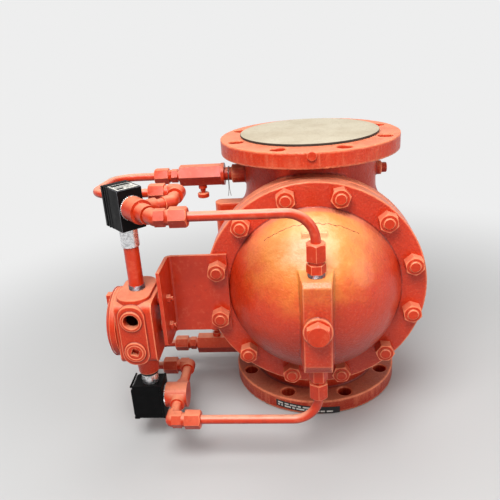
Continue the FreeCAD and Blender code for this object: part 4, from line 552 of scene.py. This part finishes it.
def nut_on_stud():
    """One nut standing on Z with its stud's end and shank, the nut's chamfer marked as an outer edge."""
    crown = NUT_WIDTH / 2 * NUT_CROWN
    slope = math.tan(math.radians(30))
    loops = [circle_loop(STUD_RADIUS, STUD_ROOT), circle_loop(STUD_RADIUS, 0.0),
             hexagon_loop(NUT_WIDTH, 0.0, NUT_WIDTH, slope),
             hexagon_loop(NUT_WIDTH, NUT_HEIGHT, crown, slope),
             circle_loop(crown, NUT_HEIGHT), circle_loop(STUD_RADIUS + COUNTERSINK_WIDTH, NUT_HEIGHT),
             circle_loop(STUD_RADIUS, NUT_HEIGHT - COUNTERSINK_DEPTH),
             circle_loop(STUD_RADIUS, NUT_HEIGHT + STUD_TAIL - STUD_CHAMFER),
             circle_loop(STUD_RADIUS - STUD_CHAMFER, NUT_HEIGHT + STUD_TAIL)]
    mesh = looped("cover_nut_pattern", loops)
    edge_mark = mesh.attributes.new("outer_edge", "FLOAT", "FACE")
    for face in mesh.polygons:
        edge_mark.data[face.index].value = float(CHAMFER_TILTS[0] < face.normal.z < CHAMFER_TILTS[1])
    return mesh


def grown(name, group, values):
    """What a Geometry Nodes tree makes with its named inputs set, as a plain mesh."""
    holder = in_scene(name, bpy.data.meshes.new(name))
    modifier = holder.modifiers.new("nodes", "NODES")
    modifier.node_group = group
    for item in group.interface.items_tree:
        if item.item_type == "SOCKET" and item.in_out == "INPUT" and item.name in values:
            modifier[item.identifier] = values[item.name]
    return settled(holder)


def new_growth(name, inputs):
    """An empty Geometry Nodes tree with named inputs; gives its tree, its inputs and its output node."""
    tree = bpy.data.node_groups.new(name, "GeometryNodeTree")
    kinds = {float: "NodeSocketFloat", int: "NodeSocketInt"}
    for label, value in inputs.items():
        if value in ("Object", "Material"):
            tree.interface.new_socket(label, in_out="INPUT", socket_type="NodeSocket" + value)
        else:
            socket = tree.interface.new_socket(label, in_out="INPUT", socket_type=kinds[type(value)])
            socket.default_value = value
    tree.interface.new_socket("Mesh", in_out="OUTPUT", socket_type="NodeSocketGeometry")
    return tree, tree.nodes.new("NodeGroupInput").outputs, tree.nodes.new("NodeGroupOutput")


def stud_circle_tree():
    """Nuts round the cover: each turned by chance, those over the bracket moved out by its plate."""
    tree, given, put = new_growth("stud_circle", {
        "Nut": "Object", "Count": STUD_COUNT, "Radius": STUD_CIRCLE * MM, "Face": -COVER_FACE * MM,
        "Axis height": COVER_AXIS * MM, "Plate": BRACKET_PLATE * MM, "Plate edge": BRACKET_EDGE * MM,
        "Seed": 4, "Paint": "Material"})
    circle = add(tree, "GeometryNodeMeshCircle", {"Vertices": given["Count"], "Radius": given["Radius"]})
    turned = add(tree, "GeometryNodeTransform", {"Geometry": circle.outputs[0],
                                                 "Rotation": (0.0, 0.0, math.pi / STUD_COUNT)})
    across = add(tree, "ShaderNodeSeparateXYZ", {0: add(tree, "GeometryNodeInputPosition").outputs[0]})
    left = math_of(tree, "LESS_THAN", across.outputs["X"], given["Plate edge"])
    plate = add(tree, "ShaderNodeCombineXYZ", {"Z": math_of(tree, "MULTIPLY", left, given["Plate"])})
    stood = add(tree, "GeometryNodeSetPosition", {"Geometry": turned.outputs[0], "Offset": plate.outputs[0]})
    spin = add(tree, "FunctionNodeRandomValue", {"Min": (0.0, 0.0, -NUT_SPIN), "Max": (0.0, 0.0, NUT_SPIN),
                                                 "Seed": given["Seed"]}, data_type="FLOAT_VECTOR")
    nut = add(tree, "GeometryNodeObjectInfo", {"Object": given["Nut"]})
    nuts = add(tree, "GeometryNodeInstanceOnPoints", {
        "Points": stood.outputs[0], "Instance": nut.outputs["Geometry"], "Rotation": spin.outputs[0]})
    whole = add(tree, "GeometryNodeRealizeInstances", {0: nuts.outputs[0]})
    place = add(tree, "ShaderNodeCombineXYZ", {"Y": given["Face"], "Z": given["Axis height"]})
    upright_ring = add(tree, "GeometryNodeTransform", {
        "Geometry": whole.outputs[0], "Rotation": (math.radians(90), 0.0, 0.0),
        "Translation": place.outputs[0]})
    painted = add(tree, "GeometryNodeSetMaterial", {"Geometry": upright_ring.outputs[0],
                                                    "Material": given["Paint"]})
    tree.links.new(painted.outputs[0], put.inputs["Mesh"])
    return tree


fitting_enamel = enamel("fitting_enamel", grain=160.0, relief=0.00012, Pits=0.1)
nut_pattern = in_scene("cover_nut_pattern", nut_on_stud())
nuts = grown("cover_nuts_and_studs", stud_circle_tree(), {"Nut": nut_pattern, "Paint": fitting_enamel})
bpy.data.objects.remove(nut_pattern)
dress(nuts, fitting_enamel, "red_paint", "cover_nuts", "cover_studs")


# Plugs, fittings and tube nuts.
# Forged and turned steel, hexagon where a spanner takes them, with rolled threads, all under the
# same enamel, which runs thin along every sharp edge and is painted lighter there as a highlight.
PAINTED_FITTINGS = {
    "cover_plug": 0.7, "body_plugs": 0.6, "upper_cover_connector": 0.5, "lower_cover_connector": 0.5,
    "tube_nuts": 0.6, "upper_front_elbow": 0.6, "lower_front_elbow": 0.6, "upper_side_elbow": 0.6,
    "upper_rear_elbow": 0.6, "lower_rear_elbow": 0.6, "upper_pilot_body": 0.7, "lower_pilot_body": 0.7,
    "needle_connectors": 0.5, "needle_nipples": 0.4, "needle_glands": 0.3, "bracket_nuts": 0.3,
    "bracket_bolts": 0.4}


def softened(piece, edge, segments=2, sharp=30.0):
    """Rounds a piece's outer edges and marks them; hollow corners stay sharp."""
    work = bmesh.new()
    work.from_mesh(piece.data)
    layers = work.edges.layers.float
    weight = layers.get("bevel_weight_edge") or layers.new("bevel_weight_edge")
    for line in work.edges:
        outer = len(line.link_faces) == 2 and line.is_convex and line.calc_face_angle() > math.radians(sharp)
        line[weight] = 1.0 if outer else 0.0
    work.to_mesh(piece.data)
    work.free()
    piece.data.materials.clear()
    for stand_in in ("face", "edge"):
        piece.data.materials.append(bpy.data.materials.get(stand_in) or bpy.data.materials.new(stand_in))
    for face in piece.data.polygons:
        face.material_index = 0
    piece.data.shade_smooth()
    piece.data.set_sharp_from_angle(angle=math.radians(sharp))
    bevel = piece.modifiers.new("edge", "BEVEL")
    bevel.width = edge * MM
    bevel.segments = segments
    bevel.limit_method = "WEIGHT"
    bevel.harden_normals = True
    bevel.material = 1
    settled(piece)
    edge_mark = piece.data.attributes.new("outer_edge", "FLOAT", "FACE")
    for face in piece.data.polygons:
        edge_mark.data[face.index].value = float(face.material_index)
        face.material_index = 0
    return piece


for node, edge in PAINTED_FITTINGS.items():
    dress(softened(copy_of(node, node + "_painted"), edge), fitting_enamel, "red_paint", node)


# Tubes.
# Half-inch steel tube, bent cold and painted in place, smooth enough to carry one long streak of light.
# Tube tops are painted paler, partly as dust and partly as painted top light.
ENAMEL_TUBE_DUST_AND_PAINTED_LIGHT = (0.84, 0.38, 0.24, 1)
tube_enamel = enamel("tube_enamel", grain=90.0, relief=0.00006, coat=0.3, Pits=0.05, Chalked=ENAMEL_TUBE_DUST_AND_PAINTED_LIGHT)


def repaint(node, material):
    """A better material for a CAD node whose shape is right."""
    for held in frame["nodes"][node].material_slots:
        held.material = material


for node in ("upper_cover_tube", "lower_cover_tube", "upper_loop_tube", "lower_loop_tube"):
    repaint(node, tube_enamel)


# Bare threads.
# Where the upper connector stands in the boss and the conduit in its box, the last turns of the
# pipe thread are bright grey steel with paint and sealing paste between them.
THREAD_PITCH = 1.8
THREAD_DEPTH = 0.75
THREAD_BORE = 9.5
CONDUIT_AXIS = (-253.0, -182.0)
THREADS = {"upper_connector_thread": (11.4, 6.0, (0.0, -242.0, 295.0)),
           "conduit_thread": (11.5, 8.0, (*CONDUIT_AXIS, 255.6))}


def bare_steel(name, dark, light, rough, scale=500.0, red=0.0):
    """Steel without paint: streaks of two greys, and a share of overspray."""
    material, tree, shader = new_material(name)
    place = own_place(tree)
    tone = cloud(tree, place, scale, 4.0, 0.6)
    color = blended(tree, ranged(tree, tone, 0.35, 0.65), dark, light)
    sprayed_on = ranged(tree, cloud(tree, place, 190.0, 3.0, 0.6), 0.62 - red, 0.72 - red)
    color = blended(tree, sprayed_on, color, ENAMEL_RED)
    tree.links.new(color, shader.inputs["Base Color"])
    tree.links.new(ranged(tree, sprayed_on, 0.0, 1.0, 0.9, 0.0), shader.inputs["Metallic"])
    tree.links.new(ranged(tree, tone, 0.3, 0.7, rough - 0.08, rough + 0.10), shader.inputs["Roughness"])
    tree.links.new(bumped(tree, tone, 0.00008), shader.inputs["Normal"])
    return material


def standing(base, direction):
    """Where a piece built on Z goes: its base in mm, and the way that its Z points."""
    turn = Vector(direction).to_track_quat("Z", "Y").to_matrix().to_4x4()
    return Matrix.Translation(Vector(base) * MM) @ turn


def turned_mesh(name, section, base, direction, steps=48):
    """A turned ring from its section, as radius and height in mm."""
    mesh = looped(name, [circle_loop(radius, height, steps) for radius, height in section], closed=True)
    mesh.transform(standing(base, direction))
    return mesh


def thread_section(radius, length):
    section = [(THREAD_BORE, 0.0)]
    for turn in range(int(length / THREAD_PITCH)):
        section += [(radius - THREAD_DEPTH, turn * THREAD_PITCH), (radius, (turn + 0.5) * THREAD_PITCH)]
    top = int(length / THREAD_PITCH) * THREAD_PITCH
    return section + [(radius - THREAD_DEPTH, top), (THREAD_BORE, top)]


thread_steel = bare_steel("thread_steel", dark=(0.13, 0.11, 0.12, 1), light=(0.34, 0.30, 0.32, 1), rough=0.48,
                          red=0.04)
for name, (radius, length, base) in THREADS.items():
    thread = turned_mesh(name, thread_section(radius, length), base, (0, 0, 1))
    ride_on(in_scene(name, thread), thread_steel, "valve")


# Solenoid coils.
# Black moulded coils with wound belts under the skin near the far end; the upper one has a pale
# label with printed bars on top. A knurled ring holds each on its pilot body.
UPPER_HEADING = math.radians(-47.5)
UPPER_COIL, UPPER_COIL_AXIS = (349.2, 406.2), 380.0
LOWER_COIL, LOWER_COIL_AXIS = (42.2, 99.2), 73.0
COIL_WIDTH = 36.0
RESIN_DARK, RESIN_LIGHT = (0.0018, 0.0018, 0.002, 1), (0.004, 0.004, 0.0045, 1)
RESIN_RUBBED, RESIN_DUSTED = (0.10, 0.10, 0.11, 1), (0.03, 0.028, 0.027, 1)
BELT_SINK = 1.0
UPPER_BELTS = ((-27.0, -21.0, 0.9, 1.0), (-18.5, -14.5, 0.5, 0.0), (-8.5, -7.5, 0.35, 0.0))


def moulded_black():
    """Coil resin: near black, its skin slightly mottled, rubbed grey along its edges."""
    material, tree, shader = new_material("coil_resin")
    place = own_place(tree)
    mottle = cloud(tree, place, 60.0, 5.0, 0.65)
    grain = cloud(tree, place, 900.0, 2.0, 0.5)
    color = blended(tree, ranged(tree, mottle, 0.4, 0.7), RESIN_DARK, RESIN_LIGHT)
    lighter_edges = math_of(tree, "MULTIPLY", marked(tree, "outer_edge"), ranged(tree, mottle, 0.35, 0.6, 0.5, 1.0))
    color = blended(tree, lighter_edges, color, RESIN_RUBBED)
    dusted = ranged(tree, facing_up(tree), 0.5, 1.0, 0.0, 0.35)
    color = blended(tree, math_of(tree, "MULTIPLY", dusted, mottle), color, RESIN_DUSTED)
    tree.links.new(color, shader.inputs["Base Color"])
    shader.inputs["Specular IOR Level"].default_value = 0.08
    tree.links.new(ranged(tree, mottle, 0.3, 0.7, 0.34, 0.52), shader.inputs["Roughness"])
    tree.links.new(bumped(tree, grain, 0.00006), shader.inputs["Normal"])
    return material


def bar_box(low, high, edge=0.3):
    """A slab with rounded edges, its corners in mm."""
    mesh = bpy.data.meshes.new("slab")
    work = bmesh.new()
    bmesh.ops.create_cube(work, size=1.0)
    low, high = Vector(low) * MM, Vector(high) * MM
    for vertex in work.verts:
        vertex.co = Vector(low[i] + (high[i] - low[i]) * (vertex.co[i] + 0.5) for i in range(3))
    bmesh.ops.bevel(work, geom=work.edges[:] + work.verts[:], offset=edge * MM, segments=2, affect="EDGES",
                    profile=0.5)
    work.to_mesh(mesh)
    work.free()
    mesh.shade_smooth()
    mesh.set_sharp_from_angle(angle=math.radians(40))
    return mesh


def joined(name, meshes):
    """One piece from several meshes."""
    work = bmesh.new()
    for mesh in meshes:
        work.from_mesh(mesh)
    whole = bpy.data.meshes.new(name)
    work.to_mesh(whole)
    work.free()
    whole.shade_smooth()
    whole.set_sharp_from_angle(angle=math.radians(38))
    return in_scene(name, whole)


def belt(start, end, proud, low, high):
    """A flat band round a coil, across its length, from one height to another, as four slabs."""
    side = COIL_WIDTH / 2
    return [bar_box((start, -side - proud, low), (end, -side + BELT_SINK, high)),
            bar_box((start, side - BELT_SINK, low), (end, side + proud, high)),
            bar_box((start, -side - proud, high - BELT_SINK), (end, side + proud, high + proud)),
            bar_box((start, -side - proud, low - proud), (end, side + proud, low + BELT_SINK))]


def toward(heading, height=0.0):
    """Turns a piece built along X about the conduit's axis."""
    return Matrix.Translation(Vector((*CONDUIT_AXIS, height)) * MM) @ Matrix.Rotation(heading, 4, "Z")


def moved_mesh(mesh, matrix):
    mesh.transform(matrix)
    return mesh


coil_resin = moulded_black()
dress(softened(copy_of("coils", "coils_moulded"), 1.0, 3), coil_resin, "black_coil", "coils")
upper_belts = []
for start, end, proud, inset in UPPER_BELTS:
    upper_belts += belt(start, end, proud, UPPER_COIL[0] + inset, UPPER_COIL[1] - inset)
lower_rims = [bar_box((-28.3, -18.4, LOWER_COIL[1] - 1.0), (-25.6, 18.2, LOWER_COIL[1] + 1.4)),
              bar_box((-28.3, -18.6, LOWER_COIL[1] - 1.0), (18.5, -16.0, LOWER_COIL[1] + 1.2)),
              bar_box((-28.2, -18.6, LOWER_COIL[0] - 1.2), (-20.0, 18.4, LOWER_COIL[0] + 3.0), 0.8),
              bar_box((16.5, -18.5, LOWER_COIL[0]), (20.2, 18.5, LOWER_COIL[1] + 0.6), 0.6)]
ride_on(joined("coil_belts", [moved_mesh(mesh, toward(UPPER_HEADING)) for mesh in upper_belts]
               + [moved_mesh(mesh, toward(0.0)) for mesh in lower_rims]), coil_resin, "valve")


PAPER_PALE, PAPER_SCUFFED = (0.70, 0.68, 0.62, 1), (0.42, 0.40, 0.36, 1)
LABEL_BARS = ((-10.5, -3.0, -13.5, 13.5), (0.0, 1.5, -11.0, 12.0), (4.0, 5.2, -13.0, 8.0),
              (7.5, 14.5, -13.0, -3.0), (8.0, 9.2, 0.0, 12.5), (12.0, 13.2, 0.0, 10.5))


def paper_label():
    """A pale printed label, a little yellowed and scuffed."""
    material, tree, shader = new_material("label_paper")
    place = own_place(tree)
    tone = cloud(tree, place, 160.0, 5.0, 0.7)
    color = blended(tree, ranged(tree, tone, 0.4, 0.7), PAPER_PALE, PAPER_SCUFFED)
    tree.links.new(color, shader.inputs["Base Color"])
    tree.links.new(ranged(tree, tone, 0.3, 0.7, 0.4, 0.6), shader.inputs["Roughness"])
    return material


label_paper = paper_label()
label_top = UPPER_COIL[1] + 0.25
label_sheet = bar_box((-12.5, -15.5, label_top - 0.5), (17.0, 15.5, label_top), 0.1)
ride_on(joined("coil_label", [moved_mesh(label_sheet, toward(UPPER_HEADING))]), label_paper,
        "valve")
label_bars = [bar_box((start, low, label_top - 0.2), (end, high, label_top + 0.12), 0.05)
              for start, end, low, high in LABEL_BARS]
ride_on(joined("coil_label_bars", [moved_mesh(bar, toward(UPPER_HEADING)) for bar in label_bars]), coil_resin,
        "valve")


RING_LEAD = 20.0
RING_SECTION = ((9.6, 0.0), (16.6, 0.0), (17.2, 0.4), (17.2, 2.1), (16.6, 2.6), (13.5, 2.6), (13.0, 2.9),
                (9.6, 2.9))
RING_STEPS = 144
TOOTH_STEPS = 4
TOOTH_DEPTH = 0.7
TOOTHED_FROM = 15.0


def knurled_ring(name, heading, height):
    """A thin steel ring with a toothed rim, on the coil's near face."""
    loops = []
    for radius, lift in RING_SECTION:
        loop = []
        for step in range(RING_STEPS):
            angle = 2 * math.pi * step / RING_STEPS
            cut = radius > TOOTHED_FROM and step % TOOTH_STEPS < TOOTH_STEPS / 2
            reach = radius - (TOOTH_DEPTH if cut else 0.0)
            loop.append((RING_LEAD + lift, math.cos(angle) * reach, height + math.sin(angle) * reach))
        loops.append(loop)
    return moved_mesh(looped(name, loops, closed=True), toward(heading))


galvanised = bare_steel("galvanised", dark=(0.50, 0.50, 0.51, 1), light=(0.90, 0.90, 0.91, 1), rough=0.26,
                        scale=330.0, red=-0.14)
ring_steel = bare_steel("ring_steel", dark=(0.40, 0.39, 0.38, 1), light=(0.78, 0.76, 0.74, 1), rough=0.30,
                        scale=300.0, red=0.06)
upper_ring = knurled_ring("ring", UPPER_HEADING, UPPER_COIL_AXIS)
lower_ring = knurled_ring("ring", 0.0, LOWER_COIL_AXIS)
dress(joined("knurled_rings", [upper_ring, lower_ring]), ring_steel, "zinc_plate", "retaining_rings")
dress(softened(copy_of("coil_hubs", "coil_hubs_plated"), 0.8), galvanised, "zinc_plate", "coil_hubs")


# Needle valves.
# Bar-stock bodies screwed on the necks' nipples, each with a turned stem, a round knob and a gland.
KNOB_PARTS = {"upper_needle_body": 0.7, "lower_needle_body": 0.7, "upper_knob": 0.5, "lower_knob": 0.5,
              "upper_needle_stem": 0.2, "lower_needle_stem": 0.2, "upper_stem_ring": 0.1,
              "lower_stem_ring": 0.1}
for node, edge in KNOB_PARTS.items():
    dress(softened(copy_of(node, node + "_painted"), edge), fitting_enamel, "red_paint", node)


# Junction box.
# A small cast box on the bracket's leg, with raised pads and hubs, a screwed round cover with a
# rubber ring, and one hub closed by a square-socket plug.
BOX_VOXEL = 0.8
BOX_MESH = 150000
BOX_RIPPLE = 0.1
BOX_AXIS_HEIGHT = 204.0
BOX_COVER_BACK = -277.3
RIDGE_FOOT, RIDGE_TOP = 49.0, 50.45
RIDGE_STARTS = (1.4, 5.2, 9.6)
RIDGE_STEPS = 96
box_enamel = enamel("box_enamel", grain=520.0, relief=0.0005, Pits=0.4)
box_casting = cast("junction_box", "box_casting", BOX_VOXEL, BOX_MESH, BOX_RIPPLE)
dress(box_casting, box_enamel, "red_paint", "junction_box")
dress(softened(copy_of("box_cover", "box_cover_painted"), 1.2, 3), box_enamel, "red_paint", "box_cover")
rim_ridges = []
for start in RIDGE_STARTS:
    section = [(RIDGE_FOOT, start), (RIDGE_TOP, start + 0.1), (RIDGE_TOP, start + 0.7),
               (RIDGE_FOOT, start + 0.8)]
    rim_ridges.append(turned_mesh("ridge", section, (BOX_COVER_BACK, CONDUIT_AXIS[1], BOX_AXIS_HEIGHT),
                                  (-1, 0, 0), RIDGE_STEPS))
ride_on(joined("box_cover_ridges", rim_ridges), box_enamel, "box_cover")
dress(softened(copy_of("box_plug", "box_plug_painted"), 0.5), fitting_enamel, "red_paint", "box_plug")


def soft_black(name, light):
    """Black rubber or gasket sheet with a dull, slightly dusty skin."""
    material, tree, shader = new_material(name)
    place = own_place(tree)
    tone = cloud(tree, place, 220.0, 4.0, 0.6)
    color = blended(tree, ranged(tree, tone, 0.4, 0.7), (0.010, 0.010, 0.011, 1), light)
    tree.links.new(color, shader.inputs["Base Color"])
    tree.links.new(ranged(tree, tone, 0.3, 0.7, 0.5, 0.72), shader.inputs["Roughness"])
    tree.links.new(bumped(tree, tone, 0.00008), shader.inputs["Normal"])
    return material


black_rubber = soft_black("black_rubber_skin", (0.030, 0.030, 0.032, 1))
repaint("box_cover_ring", black_rubber)


# Mounting bracket.
# Five-millimetre plate, bent once and drilled, held under two of the cover's nuts; two bolts with
# nuts carry the box on its leg.
bracket_enamel = enamel("bracket_enamel", grain=130.0, relief=0.00010, coat=0.3, Pits=0.2, Chalk=0.9)
dress(softened(copy_of("mounting_bracket", "bracket_painted"), 0.6), bracket_enamel, "red_paint",
      "mounting_bracket")


# Conduit.
# Painted half-inch steel pipe between box and coils, with a black sealing collar over the lower coil.
repaint("conduit_nipples", tube_enamel)
dress(softened(copy_of("conduit_collar", "conduit_collar_soft"), 1.0, 3), black_rubber, "black_rubber",
      "conduit_collar")


# Shipping disc.
# A thin fibre disc laid on the top face to keep dirt out, cream with a dark cut edge and scuffs.
BOARD_CREAM, BOARD_TAN = (0.54, 0.48, 0.36, 1), (0.45, 0.38, 0.27, 1)
FIBRE_DARK, SCUFF_DARK = (0.24, 0.18, 0.11, 1), (0.26, 0.20, 0.13, 1)
CUT_EDGE, CUT_SIDE = (0.10, 0.075, 0.05, 1), (0.035, 0.027, 0.02, 1)


def fibre_board():
    """Pressed fibre: two creams in broad patches, dark fibres, faint scuffs and a darker cut edge."""
    material, tree, shader = new_material("fibre_board")
    place = own_place(tree)
    broad = cloud(tree, place, 14.0, 5.0, 0.6)
    fibre = cloud(tree, place, 500.0, 4.0, 0.7)
    scuff = add(tree, "ShaderNodeTexWave", {"Vector": place, "Scale": 9.0, "Distortion": 14.0, "Detail": 4.0,
                                            "Detail Scale": 3.0, "Detail Roughness": 0.7}).outputs["Fac"]
    color = blended(tree, ranged(tree, broad, 0.35, 0.7), BOARD_CREAM, BOARD_TAN)
    color = blended(tree, ranged(tree, fibre, 0.5, 0.72, 0.0, 0.35), color, FIBRE_DARK)
    color = blended(tree, ranged(tree, scuff, 0.95, 1.0, 0.0, 0.22), color, SCUFF_DARK)
    color = blended(tree, marked(tree, "outer_edge"), color, CUT_EDGE)
    color = blended(tree, ranged(tree, facing_up(tree), 0.6, 0.2), color, CUT_SIDE)
    tree.links.new(color, shader.inputs["Base Color"])
    tree.links.new(ranged(tree, fibre, 0.3, 0.7, 0.5, 0.7), shader.inputs["Roughness"])
    tree.links.new(bumped(tree, fibre, 0.00010), shader.inputs["Normal"])
    return material


dress(softened(copy_of("transit_disc", "shipping_disc"), 0.5), fibre_board(), "cream_disc", "transit_disc")


# Label strip.
# A black plastic strip stuck slantwise on the bottom rim. Its print is left as plain pale bars.
RIM_RADIUS = 139.7
STRIP_LEFT, STRIP_RIGHT = -66.4, 37.0
STRIP_LEFT_HEIGHT, STRIP_RIGHT_HEIGHT, STRIP_HEIGHT = 7.6, 0.8, 12.0
STRIP_STEP = 3.0
STRIP_SINK = 0.3
STRIP_LOWEST = 1.7
STRIP_PROUD, PRINT_PROUD = 0.4, 0.5
STRIP_PRINT = (
    (7.0, 9.6, ((14.0, 20.5), (22.5, 33.0), (35.0, 40.0), (43.5, 57.0), (60.0, 66.0))),
    (2.4, 5.0, ((14.0, 24.0), (26.5, 31.0), (33.0, 46.0), (48.0, 54.5), (57.0, 70.0), (72.0, 79.0),
                (82.0, 92.0))),
    (2.6, 5.2, ((3.0, 6.0), (8.0, 11.0))),
    (6.8, 9.4, ((3.0, 11.0),)))


def on_rim(start, end, low, high, proud):
    """A patch on the rim's curve: across in mm from the strip's left end, up from its lower edge."""
    steps = max(2, int((end - start) / STRIP_STEP))
    loops = []
    for step in range(steps + 1):
        x = STRIP_LEFT + start + (end - start) * step / steps
        slant = (STRIP_RIGHT_HEIGHT - STRIP_LEFT_HEIGHT) * (x - STRIP_LEFT) / (STRIP_RIGHT - STRIP_LEFT)
        foot = STRIP_LEFT_HEIGHT + slant
        bottom, top = max(foot + low, STRIP_LOWEST), foot + high
        inner = -math.sqrt((RIM_RADIUS - STRIP_SINK) ** 2 - x ** 2)
        outer = -math.sqrt((RIM_RADIUS + proud) ** 2 - x ** 2)
        loops.append([(x, inner, bottom), (x, outer, bottom), (x, outer, top), (x, inner, top)])
    return looped("patch", loops)


strip_length = STRIP_RIGHT - STRIP_LEFT
dress(joined("marking_strip_plastic", [on_rim(0.0, strip_length, 0.0, STRIP_HEIGHT, STRIP_PROUD)]),
      soft_black("strip_plastic", (0.022, 0.021, 0.021, 1)), "strip_black", "marking_strip")
strip_print = [on_rim(start, end, low, high, PRINT_PROUD) for low, high, spans in STRIP_PRINT
               for start, end in spans]
ride_on(joined("marking_strip_bars", strip_print), label_paper, "valve")


# Lock wire.
# Two fine steel strands, each waved and laid side by side, hooked over the upper needle valve's nipple.
LOCK_X = -131.0
LOCK_TOP = 371.0
NIPPLE_REACH = 11.9
WIRE_SHORT_END = 11.0
WIRE_TAIL = 34.0
WIRE_POINTS = 150
STRAND = 0.42
WAVE_TURN, WAVE_REACH = 0.55, 0.6
SPLAY_START, SPLAY_STEPS, SPLAY_REACH = 118, 32.0, 5.0


def hook_path(count):
    """Points of the hook: up behind the nipple, over it, and down in front to the loose end."""
    straight, bend = WIRE_SHORT_END, math.pi * NIPPLE_REACH
    whole = straight + bend + WIRE_TAIL
    points = []
    for step in range(count):
        run = whole * step / (count - 1)
        if run < straight:
            points.append(Vector((LOCK_X, NIPPLE_REACH, LOCK_TOP - straight + run)))
        elif run < straight + bend:
            angle = (run - straight) / NIPPLE_REACH
            deep, up = math.cos(angle) * NIPPLE_REACH, math.sin(angle) * NIPPLE_REACH
            points.append(Vector((LOCK_X, deep, LOCK_TOP + up)))
        else:
            points.append(Vector((LOCK_X, -NIPPLE_REACH, LOCK_TOP - (run - straight - bend))))
    return points


def strand(phase):
    """One strand, waving along its own side of the hook's path, the last stretch splayed."""
    path = hook_path(WIRE_POINTS)
    points = []
    for index, spot in enumerate(path):
        onward = (path[min(index + 1, WIRE_POINTS - 1)] - path[max(index - 1, 0)]).normalized()
        side = onward.cross(Vector((1.0, 0.0, 0.0))).normalized()
        angle = index * WAVE_TURN + phase
        splay = 1.0 + max(0.0, (index - SPLAY_START) / SPLAY_STEPS) ** 2 * SPLAY_REACH
        aside = side * math.sin(angle) * WAVE_REACH + Vector((math.cos(phase) * splay, 0.0, 0.0))
        points.append(spot + aside * STRAND)
    return points


wire_steel = bare_steel("wire_steel", dark=(0.10, 0.10, 0.10, 1), light=(0.32, 0.31, 0.30, 1), rough=0.40,
                        scale=400.0, red=-0.2)
strands = [wire_mesh("strand", strand(phase), [STRAND] * WIRE_POINTS, sides=1) for phase in (0.0, math.pi)]
dress(joined("lock_wire_twisted", strands), wire_steel, "spring_steel", "lock_wire")


# Inside the valve.
# Bronze seat and liner, an iron piston with its rings, rubber seal, coiled springs and the solenoids'
# plungers: clean machined metal that no paint has reached.
def machined(name, dark, light, rough, lines=900.0):
    """Metal off the lathe: fine lines round the work and a soft change of tone."""
    material, tree, shader = new_material(name)
    place = own_place(tree)
    tone = cloud(tree, place, 40.0, 4.0, 0.6)
    line = add(tree, "ShaderNodeTexWave", {"Vector": place, "Scale": lines / 20, "Distortion": 1.5,
                                           "Detail": 2.0},
               wave_type="BANDS", bands_direction="Y").outputs["Fac"]
    tree.links.new(blended(tree, ranged(tree, tone, 0.35, 0.65), dark, light), shader.inputs["Base Color"])
    tree.links.new(ranged(tree, line, 0.0, 1.0, rough - 0.05, rough + 0.08), shader.inputs["Roughness"])
    tree.links.new(bumped(tree, line, 0.00003), shader.inputs["Normal"])
    shader.inputs["Metallic"].default_value = 1.0
    return material


bronze = machined("turned_bronze", (0.45, 0.25, 0.10, 1), (0.62, 0.38, 0.17, 1), 0.30)
steel = machined("turned_steel", (0.40, 0.40, 0.41, 1), (0.58, 0.58, 0.59, 1), 0.28)
spring_wire = machined("spring_wire", (0.16, 0.16, 0.17, 1), (0.30, 0.30, 0.31, 1), 0.34, 1600.0)
INSIDE = {
    bronze: ("seat_ring", "cylinder_liner"),
    steel: ("main_piston", "seal_retainer", "retainer_bolt", "core_tubes", "upper_plunger", "lower_plunger"),
    black_rubber: ("seal_disc", "piston_rings"),
    soft_black("gasket_sheet_skin", (0.055, 0.050, 0.045, 1)): ("cover_gasket",)}
for material, nodes in INSIDE.items():
    for node in nodes:
        repaint(node, material)


# Springs.
# Wound steel wire: the large one behind the piston and a small one on each plunger.
UPPER_WAY = (math.cos(UPPER_HEADING), math.sin(UPPER_HEADING), 0.0)
SPRING_START = 13.5
MAIN_LENGTH, MAIN_TRAVEL = 171.7, 38.0
PLUNGER_LENGTH, PLUNGER_TRAVEL = 10.8, 2.5
MAIN_END = (0.0, -196.0, COVER_AXIS)
UPPER_END = (CONDUIT_AXIS[0] + UPPER_WAY[0] * SPRING_START, CONDUIT_AXIS[1] + UPPER_WAY[1] * SPRING_START,
             UPPER_COIL_AXIS)
LOWER_END = (CONDUIT_AXIS[0] + SPRING_START, CONDUIT_AXIS[1], LOWER_COIL_AXIS)
SPRINGS = {
    "main_spring": ("piston_slide", (0.0, -1.0, 0.0), MAIN_END, MAIN_LENGTH, MAIN_TRAVEL),
    "upper_plunger_spring": ("upper_plunger_lift", UPPER_WAY, UPPER_END, PLUNGER_LENGTH, PLUNGER_TRAVEL),
    "lower_plunger_spring": ("lower_plunger_lift", (1.0, 0.0, 0.0), LOWER_END, PLUNGER_LENGTH,
                             PLUNGER_TRAVEL)}
for node, (joint, axis, fixed_end, length, travel) in SPRINGS.items():
    piece = dress(copy_of(node, node + "_wound", flat_faces=False), spring_wire, "spring_steel", node)
    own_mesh(piece)
